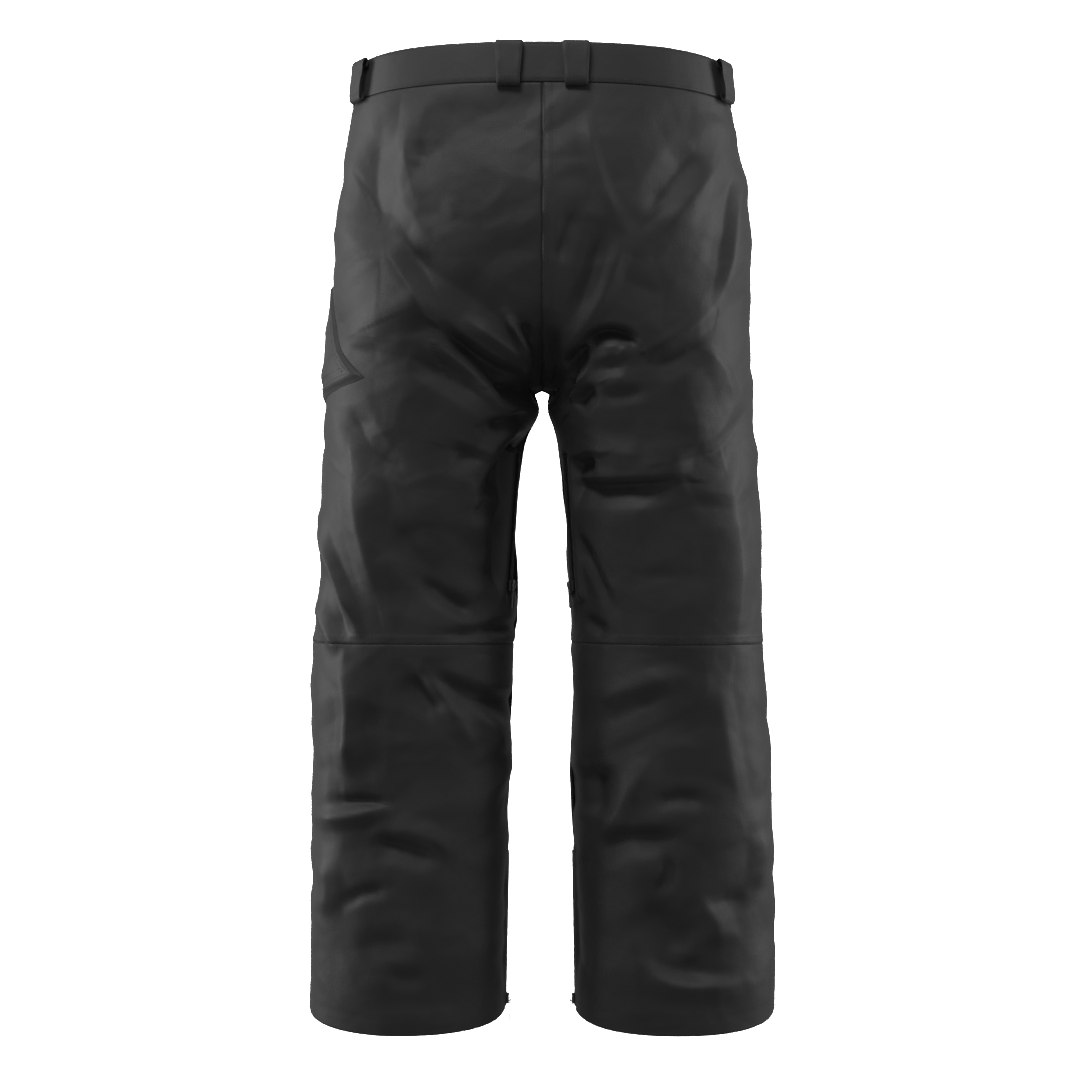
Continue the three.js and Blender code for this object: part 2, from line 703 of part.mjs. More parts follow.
addWaist();
const flyRoom = addFly();
addThighPocket();
for (const side of SIDES) {
  const { name, sign } = side;
  const hand = zipOnSkin(
    `${name}_hand_pocket`,
    [sign * HAND_ZIP.top, HAND_ZIP.start],
    [sign * HAND_ZIP.bottom, HAND_ZIP.end],
    true,
  );
  const ventEnds = [VENT.start, VENT.start + VENT.length];
  const vent = zipOnSkin(
    `${name}_vent`,
    [sign * VENT.at, ventEnds[0]],
    [sign * VENT.at, ventEnds[1]],
    false,
  );
  const hem = addHemZip(side);
  addPanels(side, [flyRoom, hand, vent, hem]);
  addPocketBag(side);
  addGuard(side);
  addGaiter(side);
  addLoop(`${name}_back_loop`, sign * 0.037);
  addLoop(`${name}_side_loop`, sign * 0.385);
  addLoop(`${name}_front_loop`, sign * 0.77);
}

export default pants;
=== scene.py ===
"""Insulated ski pants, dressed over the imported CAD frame.

The CAD part holds the sizes, the joints and the collision shapes. This script gives every piece its
cloth, folds, seams, stitches and hardware. Sizes are in millimetres until a mesh is written, because
a garment is cut in millimetres, and meshes are in metres in the frame of the CAD part.
"""

import logging
import math
from collections.abc import Callable, Sequence
from dataclasses import dataclass, field
from enum import Enum

import bmesh
import bpy
import numpy as np
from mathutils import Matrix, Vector

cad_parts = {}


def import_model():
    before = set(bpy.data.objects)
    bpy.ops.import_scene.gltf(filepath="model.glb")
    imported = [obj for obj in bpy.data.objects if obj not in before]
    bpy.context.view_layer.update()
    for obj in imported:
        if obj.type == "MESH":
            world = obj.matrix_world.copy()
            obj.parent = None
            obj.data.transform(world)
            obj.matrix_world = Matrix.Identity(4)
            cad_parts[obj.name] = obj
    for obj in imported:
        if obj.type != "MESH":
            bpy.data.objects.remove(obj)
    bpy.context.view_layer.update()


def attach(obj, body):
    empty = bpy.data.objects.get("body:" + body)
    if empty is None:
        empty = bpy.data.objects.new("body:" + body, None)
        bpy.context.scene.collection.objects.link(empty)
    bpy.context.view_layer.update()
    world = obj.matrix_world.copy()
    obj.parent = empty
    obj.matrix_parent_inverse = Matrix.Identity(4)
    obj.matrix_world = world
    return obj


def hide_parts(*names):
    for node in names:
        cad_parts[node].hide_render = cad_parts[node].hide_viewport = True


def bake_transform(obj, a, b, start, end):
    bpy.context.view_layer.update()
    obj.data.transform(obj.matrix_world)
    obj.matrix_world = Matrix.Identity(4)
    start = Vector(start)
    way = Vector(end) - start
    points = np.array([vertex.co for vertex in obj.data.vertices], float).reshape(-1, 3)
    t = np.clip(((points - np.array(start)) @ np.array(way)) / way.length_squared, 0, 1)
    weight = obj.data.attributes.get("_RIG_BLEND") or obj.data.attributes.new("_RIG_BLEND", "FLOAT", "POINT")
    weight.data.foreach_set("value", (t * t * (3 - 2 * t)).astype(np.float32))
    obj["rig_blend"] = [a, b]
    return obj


LOG = logging.getLogger("ski_pants")
MM = 0.001  # metres in a millimetre
HALF_ROUND = 600  # roughly the millimetres that places 0 to 1 span round a half of the waist
LEG_ROUND = 2 * math.pi * 96  # roughly the millimetres that they span round a leg
STEP_U, STEP_DEPTH = 0.004, 2.0  # how far to each side of a point its normal is measured
Array = np.ndarray


class Side(Enum):
    """A side of the wearer, with the sign of its X."""

    LEFT = -1
    RIGHT = 1

    @property
    def word(self) -> str:
        """The side's name as piece names use it."""
        return self.name.lower()


class Body(Enum):
    """The CAD bodies that cloth rides on."""

    PANTS = "pants"
    LEFT_LOWER_LEG = "left_lower_leg"
    RIGHT_LOWER_LEG = "right_lower_leg"
    WAIST_TAB = "waist_tab"

    @staticmethod
    def lower_leg(side: Side) -> "Body":
        """The lower leg on one side."""
        return Body.LEFT_LOWER_LEG if side is Side.LEFT else Body.RIGHT_LOWER_LEG


# ---- Small shared tools -------------------------------------------------------------------


def linear(hex_colour: str) -> tuple[float, float, float, float]:
    """Turns an sRGB hex colour into the linear one that shaders take.

    Args:
        hex_colour: six hex digits, with or without a leading #.

    Returns:
        Red, green, blue and an alpha of 1.
    """
    digits = hex_colour.lstrip("#")
    channels = [int(digits[i : i + 2], 16) / 255 for i in (0, 2, 4)]
    r, g, b = (c / 12.92 if c <= 0.04045 else ((c + 0.055) / 1.055) ** 2.4 for c in channels)
    return (r, g, b, 1.0)


def add_node(
    tree: bpy.types.NodeTree, kind: str, settings: dict | None = None, **inputs: object
) -> bpy.types.Node:
    """Adds one node to a tree, with its settings, input values and links.

    Args:
        tree: the shader or geometry tree.
        kind: the node's type identifier.
        settings: attributes of the node itself, such as its operation.
        **inputs: a value or an output socket for each input. An underscore in a name stands for a
            space, and a name such as in0 picks the input by number.

    Returns:
        The new node.
    """
    node = tree.nodes.new(kind)
    for name, value in (settings or {}).items():
        setattr(node, name, value)
    for name, value in inputs.items():
        if name.startswith("in") and name[2:].isdigit():
            socket = node.inputs[int(name[2:])]
        else:
            wanted = name.replace("_", " ").lower()
            socket = next(s for s in node.inputs if s.name.lower() == wanted and s.enabled)
        if isinstance(value, bpy.types.NodeSocket):
            tree.links.new(value, socket)
        else:
            socket.default_value = value
    return node


def smoothstep(value: Array, low: float, high: float) -> Array:
    """A smooth rise from 0 at low to 1 at high.

    Args:
        value: where to take it.
        low: where the rise starts.
        high: where it ends, which may be below low for a fall.

    Returns:
        The rise at each value.
    """
    t = np.clip((np.asarray(value, float) - low) / (high - low), 0, 1)
    return t * t * (3 - 2 * t)


def bell(distance: Array, width: float) -> Array:
    """A smooth bump of height 1 that has mostly gone at one width from its middle."""
    return np.exp(-((np.asarray(distance, float) / width) ** 2))


def graded(start: float, end: float, fine: float, coarse: float, reach: float) -> Array:
    """Places from start to end, close together near both ends and further apart between.

    Args:
        start: first place.
        end: last place.
        fine: spacing at the ends.
        coarse: spacing in the middle.
        reach: how far from an end the fine spacing lasts.

    Returns:
        The places, in order.
    """
    length = end - start
    places = [0.0]
    while places[-1] < length:
        near = min(places[-1], length - places[-1])
        step = fine if near < reach else min(coarse, fine + (near - reach) * 0.35)
        places.append(places[-1] + step)
    return start + np.array(places) * (length / places[-1])


class Noise:
    """Smooth gradient noise in space, the same on every run."""

    def __init__(self, seed: int) -> None:
        """Fills the table of gradients.

        Args:
            seed: which of the possible noises this is.
        """
        random = np.random.default_rng(seed)
        self.order = random.permutation(256)
        vectors = random.normal(size=(256, 3))
        self.gradients = vectors / np.linalg.norm(vectors, axis=1, keepdims=True)

    def key(self, cell: Array) -> Array:
        """Numbers the corners of the noise's cells from 0 to 255.

        Args:
            cell: N by 3, whole numbers.

        Returns:
            N numbers that look random.
        """
        key = self.order[cell[:, 0] % 256]
        for axis in (1, 2):
            key = self.order[(key + cell[:, axis]) % 256]
        return key

    def at(self, points: Array, scale: Sequence[float]) -> Array:
        """Takes the noise at some points.

        Args:
            points: N by 3, in millimetres.
            scale: size of one cell of the noise along each axis, in millimetres.

        Returns:
            A value from about -0.7 to 0.7 for each point.
        """
        p = np.asarray(points, float) / np.asarray(scale, float)
        cell = np.floor(p).astype(int)
        part = p - cell
        fade = part**3 * (part * (part * 6 - 15) + 10)
        total = np.zeros(len(p))
        for corner in np.ndindex(2, 2, 2):
            key = self.key(cell + corner)
            slope = np.einsum("ij,ij->i", self.gradients[key], part - corner)
            weight = np.prod(np.where(np.array(corner) == 1, fade, 1 - fade), axis=1)
            total += slope * weight
        return total

    def facets(self, points: Array, scale: Sequence[float]) -> Array:
        """Takes flat-sided noise at some points: planes that meet at creases.

        Args:
            points: N by 3, in millimetres.
            scale: size of one cell of the noise along each axis, in millimetres.

        Returns:
            A value from -1 to 1 for each point.
        """
        p = np.asarray(points, float) / np.asarray(scale, float)
        p = p @ np.array([[0.80, 0.36, -0.48], [0.0, 0.80, 0.60], [0.60, -0.48, 0.64]])
        cell = np.floor(p).astype(int)
        part = p - cell
        order = np.argsort(-part, axis=1)
        rank = np.take_along_axis(part, order, axis=1)
        step = np.zeros_like(cell)
        before = np.ones(len(p))
        total = np.zeros(len(p))
        for k in range(4):
            key = self.key(cell + step)
            after = rank[:, k] if k < 3 else np.zeros(len(p))
            total += (key / 127.5 - 1) * (before - after)
            if k < 3:
                np.put_along_axis(step, order[:, k : k + 1], 1, axis=1)
                before = after
        return total


# ---- Finishes -----------------------------------------------------------------------------


@dataclass(frozen=True)
class WovenShell:
    """Plain-woven textured nylon, dyed charcoal and brushed with a water repellent.

    Its matte yarns scatter light, with a faint bloom where it turns away from the eye.
    """

    name: str = "woven_nylon_shell"
    colour: str = "#262627"
    worn: str = "#2e2e2f"
    roughness: float = 0.58
    specular: float = 0.3
    sheen: float = 0.05
    thread: float = 1.1  # mm: the real yarns are 0.4 mm apart, drawn as coarse as they need to show
    relief: float = 0.12
    crumple: float = 0.22

    def material(self) -> bpy.types.Material:
        """Builds the material.

        Returns:
            A material that reads the piece's own UV map, whose unit is a metre of cloth.
        """
        made = bpy.data.materials.new(self.name)
        made.use_nodes = True
        tree = made.node_tree
        tree.nodes.clear()
        cloth = add_node(tree, "ShaderNodeUVMap", {"uv_map": CLOTH_UV}).outputs[0]
        space = add_node(tree, "ShaderNodeTexCoord").outputs["Object"]
        threads = 1 / (self.thread * MM)
        waves = []
        for axis in ("X", "Y"):
            settings = {"wave_type": "BANDS", "bands_direction": axis, "wave_profile": "SIN"}
            scale = threads / 20 * math.pi
            wave = add_node(tree, "ShaderNodeTexWave", settings, Vector=cloth, Scale=scale)
            waves.append(wave.outputs["Fac"])
        times, plus = {"operation": "MULTIPLY"}, {"operation": "MULTIPLY_ADD"}
        weave = add_node(tree, "ShaderNodeMath", times, in0=waves[0], in1=waves[1]).outputs[0]
        noise = add_node(tree, "ShaderNodeTexNoise", None, Vector=cloth, Scale=900.0, Detail=2.0)
        slub = noise.outputs["Fac"]
        yarn = add_node(tree, "ShaderNodeMath", plus, in0=slub, in1=0.8, in2=weave).outputs[0]
        rumple = add_node(
            tree, "ShaderNodeTexNoise", None, Vector=space, Scale=55.0, Detail=3.0, Roughness=0.55,
            Distortion=0.4
        ).outputs["Fac"]
        noise = add_node(tree, "ShaderNodeTexNoise", None, Vector=space, Scale=9.0, Detail=4.0)
        patches = noise.outputs["Fac"]
        ramp = add_node(tree, "ShaderNodeMapRange", None, in0=patches, in1=0.35, in2=0.7).outputs[0]
        tone = add_node(tree, "ShaderNodeMix", {"data_type": "RGBA"}, Factor=ramp).outputs[2]
        mix = tone.node
        mix.inputs[6].default_value = linear(self.colour)
        mix.inputs[7].default_value = linear(self.worn)
        low = add_node(
            tree, "ShaderNodeBump", None, Strength=self.crumple, Distance=0.0016, Height=rumple
        ).outputs[0]
        high = add_node(
            tree, "ShaderNodeBump", None, Strength=self.relief, Distance=0.0004, Height=yarn, Normal=low
        ).outputs[0]
        rough = add_node(
            tree, "ShaderNodeMapRange", None, in0=slub, in3=self.roughness - 0.06, in4=self.roughness + 0.08
        ).outputs[0]
        shader = add_node(
            tree,
            "ShaderNodeBsdfPrincipled",
            None,
            Base_Color=tone,
            Roughness=rough,
            Normal=high,
            Specular_IOR_Level=self.specular,
            Sheen_Weight=self.sheen,
            Sheen_Roughness=0.45,
        )
        add_node(tree, "ShaderNodeOutputMaterial", None, Surface=shader.outputs[0])
        return made


@dataclass(frozen=True)
class PlainFinish:
    """A finish whose colour varies a little and whose surface has one fine relief.

    The name says what it is. grain is the size of the relief's cells in millimetres.
    """

    name: str
    colour: str
    other: str
    roughness: float
    metallic: float = 0.0
    specular: float = 0.4
    sheen: float = 0.0
    coat: float = 0.0
    grain: float = 0.6
    relief: float = 0.15
    ribs: float = 0.0  # mm between ribs that run along the cloth, or 0 for none

    def material(self) -> bpy.types.Material:
        """Builds the material.

        Returns:
            A material that reads the piece's own place, or its UV map where it has ribs.
        """
        made = bpy.data.materials.new(self.name)
        made.use_nodes = True
        tree = made.node_tree
        tree.nodes.clear()
        space = add_node(tree, "ShaderNodeTexCoord").outputs["Object"]
        cells = 1 / (self.grain * MM)
        noise = add_node(tree, "ShaderNodeTexNoise", None, Vector=space, Scale=cells, Detail=2.0)
        grain = noise.outputs["Fac"]
        noise = add_node(tree, "ShaderNodeTexNoise", None, Vector=space, Scale=cells / 18, Detail=3.0)
        broad = noise.outputs["Fac"]
        height = grain
        if self.ribs:
            cloth = add_node(tree, "ShaderNodeUVMap", {"uv_map": CLOTH_UV}).outputs[0]
            settings = {"wave_type": "BANDS", "bands_direction": "X", "wave_profile": "SIN"}
            scale = math.pi / 20 / (self.ribs * MM)
            rib = add_node(tree, "ShaderNodeTexWave", settings, Vector=cloth, Scale=scale).outputs["Fac"]
            height = add_node(
                tree, "ShaderNodeMath", {"operation": "MULTIPLY_ADD"}, in0=rib, in1=2.0, in2=grain
            ).outputs[0]
        tone = add_node(tree, "ShaderNodeMix", {"data_type": "RGBA"}, Factor=broad).outputs[2]
        tone.node.inputs[6].default_value = linear(self.colour)
        tone.node.inputs[7].default_value = linear(self.other)
        bump = add_node(
            tree, "ShaderNodeBump", None, Strength=self.relief, Distance=0.0005, Height=height
        ).outputs[0]
        rough = add_node(
            tree, "ShaderNodeMapRange", None, in0=broad, in3=self.roughness - 0.07, in4=self.roughness + 0.07
        ).outputs[0]
        shader = add_node(
            tree,
            "ShaderNodeBsdfPrincipled",
            None,
            Base_Color=tone,
            Roughness=rough,
            Normal=bump,
            Metallic=self.metallic,
            Specular_IOR_Level=self.specular,
            Sheen_Weight=self.sheen,
            Coat_Weight=self.coat,
        )
        add_node(tree, "ShaderNodeOutputMaterial", None, Surface=shader.outputs[0])
        return made


CLOTH_UV = "cloth"  # UV map in metres of cloth: across the piece, then down it

FINISHES = {
    "shell": WovenShell(),
    # Brushed tricot: a soft, dull face that shows no thread.
    "lining": PlainFinish(
        "brushed_tricot_lining", "#2b2c2e", "#343538", 0.85, sheen=0.3, grain=0.9, relief=0.3
    ),
    "facing": PlainFinish(
        "brushed_tricot_facing", "#323436", "#3c3e41", 0.85, sheen=0.35, grain=0.8, relief=0.3
    ),
    # Coarse nylon with a coated back: heavy yarns with a dry glint.
    "guard": PlainFinish(
        "coated_ballistic_nylon", "#161617", "#1d1d1e", 0.55, specular=0.5, grain=1.1, relief=0.5, ribs=1.4
    ),
    # Light plain weave, crisp and a little shiny.
    "gaiter": PlainFinish(
        "gaiter_plain_weave", "#1d1e20", "#252629", 0.5, specular=0.45, grain=0.7, relief=0.2
    ),
    # Knitted elastic: fine ribs that run round the cuff's height.
    "elastic": PlainFinish("ribbed_elastic", "#121213", "#19191a", 0.7, grain=0.5, relief=0.6, ribs=1.8),
    # Woven polyester tape: flat and matte.
    "tape": PlainFinish("polyester_zip_tape", "#111112", "#171718", 0.7, grain=0.5, relief=0.3, ribs=1.2),
    # Moulded nylon coil: smooth, with a soft shine.
    "coil": PlainFinish("nylon_coil", "#0f0f10", "#151516", 0.38, specular=0.5, grain=1.5, relief=0.04),
    # Enamelled zinc: a hard black skin that is rubbed a little on its edges.
    "enamel": PlainFinish(
        "enamelled_zinc", "#151516", "#202022", 0.3, specular=0.5, coat=0.4, grain=2.0, relief=0.05
    ),
    # Gunmetal-plated brass of snaps and hooks.
    "gunmetal": PlainFinish(
        "gunmetal_plate", "#3a3a3d", "#4a4a4e", 0.34, metallic=1.0, grain=1.2, relief=0.04
    ),
    # Spun polyester thread: matte, a shade deeper than the cloth.
    "thread": PlainFinish("polyester_thread", "#19191a", "#222223", 0.6, sheen=0.2, grain=0.3, relief=0.2),
}


class Wardrobe:
    """The materials, each built once."""

    def __init__(self) -> None:
        """Starts with nothing built."""
        self.made: dict[str, bpy.types.Material] = {}

    def get(self, key: str) -> bpy.types.Material:
        """Finds a finish's material, and builds it the first time.

        Args:
            key: a key of FINISHES.

        Returns:
            The material.
        """
        if key not in self.made:
            self.made[key] = FINISHES[key].material()
        return self.made[key]


# ---- The garment's surface ----------------------------------------------------------------


@dataclass(frozen=True)
class Station:
    """The section of one leg at one depth below the waist, all in millimetres."""

    depth: float
    outer: float
    inner: float
    back: float
    front: float


@dataclass(frozen=True)
class GarmentShape:
    """The smooth surface that the CAD panels follow, with the same sizes."""

    outseam: float = 1040.0
    waistband: float = 44.0
    hip_depth: float = 200.0
    crotch: float = 361.0
    knee: float = 640.0
    seat_curve: float = 130.0
    front_drop: float = 30.0
    heel_drop: float = 20.0
    seat_squareness: float = 2.45
    leg_squareness: float = 2.35
    stations: tuple[Station, ...] = (
        Station(0, 202, 0, 118, 108),
        Station(200, 223, 0, 148, 116),
        Station(361, 232, 0, 128, 112),
        Station(430, 236, 17, 116, 108),
        Station(640, 246, 30, 90, 88),
        Station(1040, 255, 38, 80, 70),
    )

    def along(self, key: str, depth: Array) -> Array:
        """A smooth curve through the stations that never overshoots one of them.

        Args:
            key: which of a station's sizes.
            depth: millimetres below the waist.

        Returns:
            The size at each depth.
        """
        at = np.array([s.depth for s in self.stations])
        value = np.array([getattr(s, key) for s in self.stations])
        slope = np.diff(value) / np.diff(at)
        tangent = np.zeros(len(at))
        tangent[0], tangent[-1] = slope[0], slope[-1]
        for k in range(1, len(at) - 1):
            before, after = slope[k - 1], slope[k]
            tangent[k] = 0 if before * after <= 0 else 2 * before * after / (before + after)
        d = np.clip(depth, 0, self.outseam)
        i = np.clip(np.searchsorted(at, d, side="right") - 1, 0, len(at) - 2)
        span = at[i + 1] - at[i]
        t = (d - at[i]) / span
        rise = t * t * (3 - 2 * t)
        lean = tangent[i] * t * (1 - t) ** 2 - tangent[i + 1] * t * t * (1 - t)
        return value[i] * (1 - rise) + value[i + 1] * rise + span * lean

    def outline(self, u: Array, depth: Array) -> Array:
        """The right half's outline.

        Args:
            u: 0 at the centre back or inseam, 0.5 at the outside, 1 at the centre front or inseam.
            depth: millimetres below the waist.

        Returns:
            Points in millimetres, in the CAD frame.
        """
        u, depth = np.broadcast_arrays(np.asarray(u, float), np.asarray(depth, float))
        share = np.clip((self.crotch - depth) / self.seat_curve, 0, 1) ** 1.7
        outer = self.along("outer", depth)
        inner = np.where(depth < self.crotch, -outer * share, self.along("inner", depth))
        square = self.leg_squareness + (self.seat_squareness - self.leg_squareness) * share
        centre, width = (outer + inner) / 2, (outer - inner) / 2
        front, back = self.along("front", depth), self.along("back", depth)
        middle, half = (front - back) / 2, (front + back) / 2
        first = np.arccos(np.minimum(1, np.maximum(centre / width, 0)) ** (square / 2))
        turn = first + (2 * math.pi - 2 * first) * u
        sine, cosine = np.sin(turn), np.cos(turn)
        x = centre - width * np.sign(cosine) * np.abs(cosine) ** (2 / square)
        y = middle - half * np.sign(sine) * np.abs(sine) ** (2 / square)
        waistward = 1 - smoothstep(depth, 0, self.hip_depth)
        drop = self.front_drop * waistward * (1 - sine) / 2
        heel = self.heel_drop * np.maximum(0, sine) * smoothstep(depth, self.knee, self.outseam)
        return np.stack([x, y, -depth - drop - heel], axis=-1)

    def facing(self, u: Array, depth: Array) -> Array:
        """The outward normals of the right half.

        Args:
            u: place round it, as outline() takes it.
            depth: millimetres below the waist.

        Returns:
            Unit vectors, in the CAD frame.
        """
        u, depth = np.asarray(u, float), np.asarray(depth)
        low, high = np.maximum(0, u - STEP_U), np.minimum(1, u + STEP_U)
        around = self.outline(high, depth) - self.outline(low, depth)
        up = self.outline(u, depth - STEP_DEPTH) - self.outline(u, depth + STEP_DEPTH)
        normal = np.cross(around, up)
        return normal / np.linalg.norm(normal, axis=-1, keepdims=True)

    def skin(self, place: float, depth: float, offset: float = 0.0) -> Array:
        """One point near the surface.

        Args:
            place: -1 to 0 on the left, from centre front to centre back, and 0 to 1 on the right.
            depth: millimetres below the waist.
            offset: millimetres outwards.

        Returns:
            The point, in the CAD frame.
        """
        u = abs(place)
        point = self.outline(u, depth) + self.facing(u, depth) * offset
        return np.array([max(point[0], 0) + 0.2, point[1], point[2]]) * [math.copysign(1, place), 1, 1]

    def girth(self, depth: float) -> float:
        """Half the way round the seat, or all the way round a leg, at one depth.

        Args:
            depth: millimetres below the waist.

        Returns:
            The length of the outline from u = 0 to u = 1, in millimetres.
        """
        ring = self.outline(np.linspace(0, 1, 161), depth)
        return float(np.linalg.norm(np.diff(ring, axis=0), axis=1).sum())

    def place_at(self, x: float, depth: float, back: bool) -> float:
        """The u on the front or back that lies this far from the middle plane.

        Args:
            x: millimetres from the middle plane.
            depth: millimetres below the waist.
            back: True for the back.

        Returns:
            The u.
        """
        us = np.linspace(0, 0.5, 400) if back else np.linspace(1, 0.5, 400)
        return float(np.interp(abs(x), self.outline(us, depth)[:, 0], us))


@dataclass(frozen=True)
class Fold:
    """A crease or a roll in the cloth, along a line seen from behind or in front.

    path holds x and z in millimetres. height is outwards, so a crease has a negative one. lean
    sharpens one flank and softens the other: a positive one softens the left of the path.
    """

    name: str
    path: tuple[tuple[float, float], ...]
    width: float
    height: float
    lean: float = 0.0
    soft: float = 0.3  # 0 for a knife edge, 1 for a roll

    def relief(self, x: Array, z: Array) -> Array:
        """The fold's height at some points.

        Args:
            x: across, in millimetres.
            z: up, in millimetres.

        Returns:
            Millimetres outwards at each point.
        """
        points = np.array(self.path, float)
        for _ in range(2):  # round the corners of the line
            cut = [points[0]]
            for a, b in zip(points[:-1], points[1:]):
                cut += [a * 0.75 + b * 0.25, a * 0.25 + b * 0.75]
            points = np.array([*cut, points[-1]])
        starts, steps = points[:-1], np.diff(points, axis=0)
        lengths = np.linalg.norm(steps, axis=1)
        run = np.concatenate([[0], np.cumsum(lengths)])
        best = np.full(x.shape, np.inf)
        side = np.zeros(x.shape)
        way = np.zeros(x.shape)
        for a, s, length, before in zip(starts, steps, lengths, run):
            t = np.clip(((x - a[0]) * s[0] + (z - a[1]) * s[1]) / length**2, 0, 1)
            dx, dz = x - a[0] - t * s[0], z - a[1] - t * s[1]
            distance = np.hypot(dx, dz)
            nearer = distance < best
            best = np.where(nearer, distance, best)
            side = np.where(nearer, np.sign(s[0] * dz - s[1] * dx), side)
            way = np.where(nearer, before + t * length, way)
        share = way / run[-1]
        taper = smoothstep(share, -0.02, 0.3) * smoothstep(share, 1.02, 0.7)
        reach = 2.1 * self.width * (1 + self.lean * side)
        left = 1 - np.hypot(best / reach, 0.3 * self.soft)  # flat flanks that meet at a crease
        crest = (left + np.hypot(left, 0.12)) / 2
        return self.height * crest * (0.2 + 0.8 * taper) * smoothstep(best, self.width * 5.5, self.width * 3)


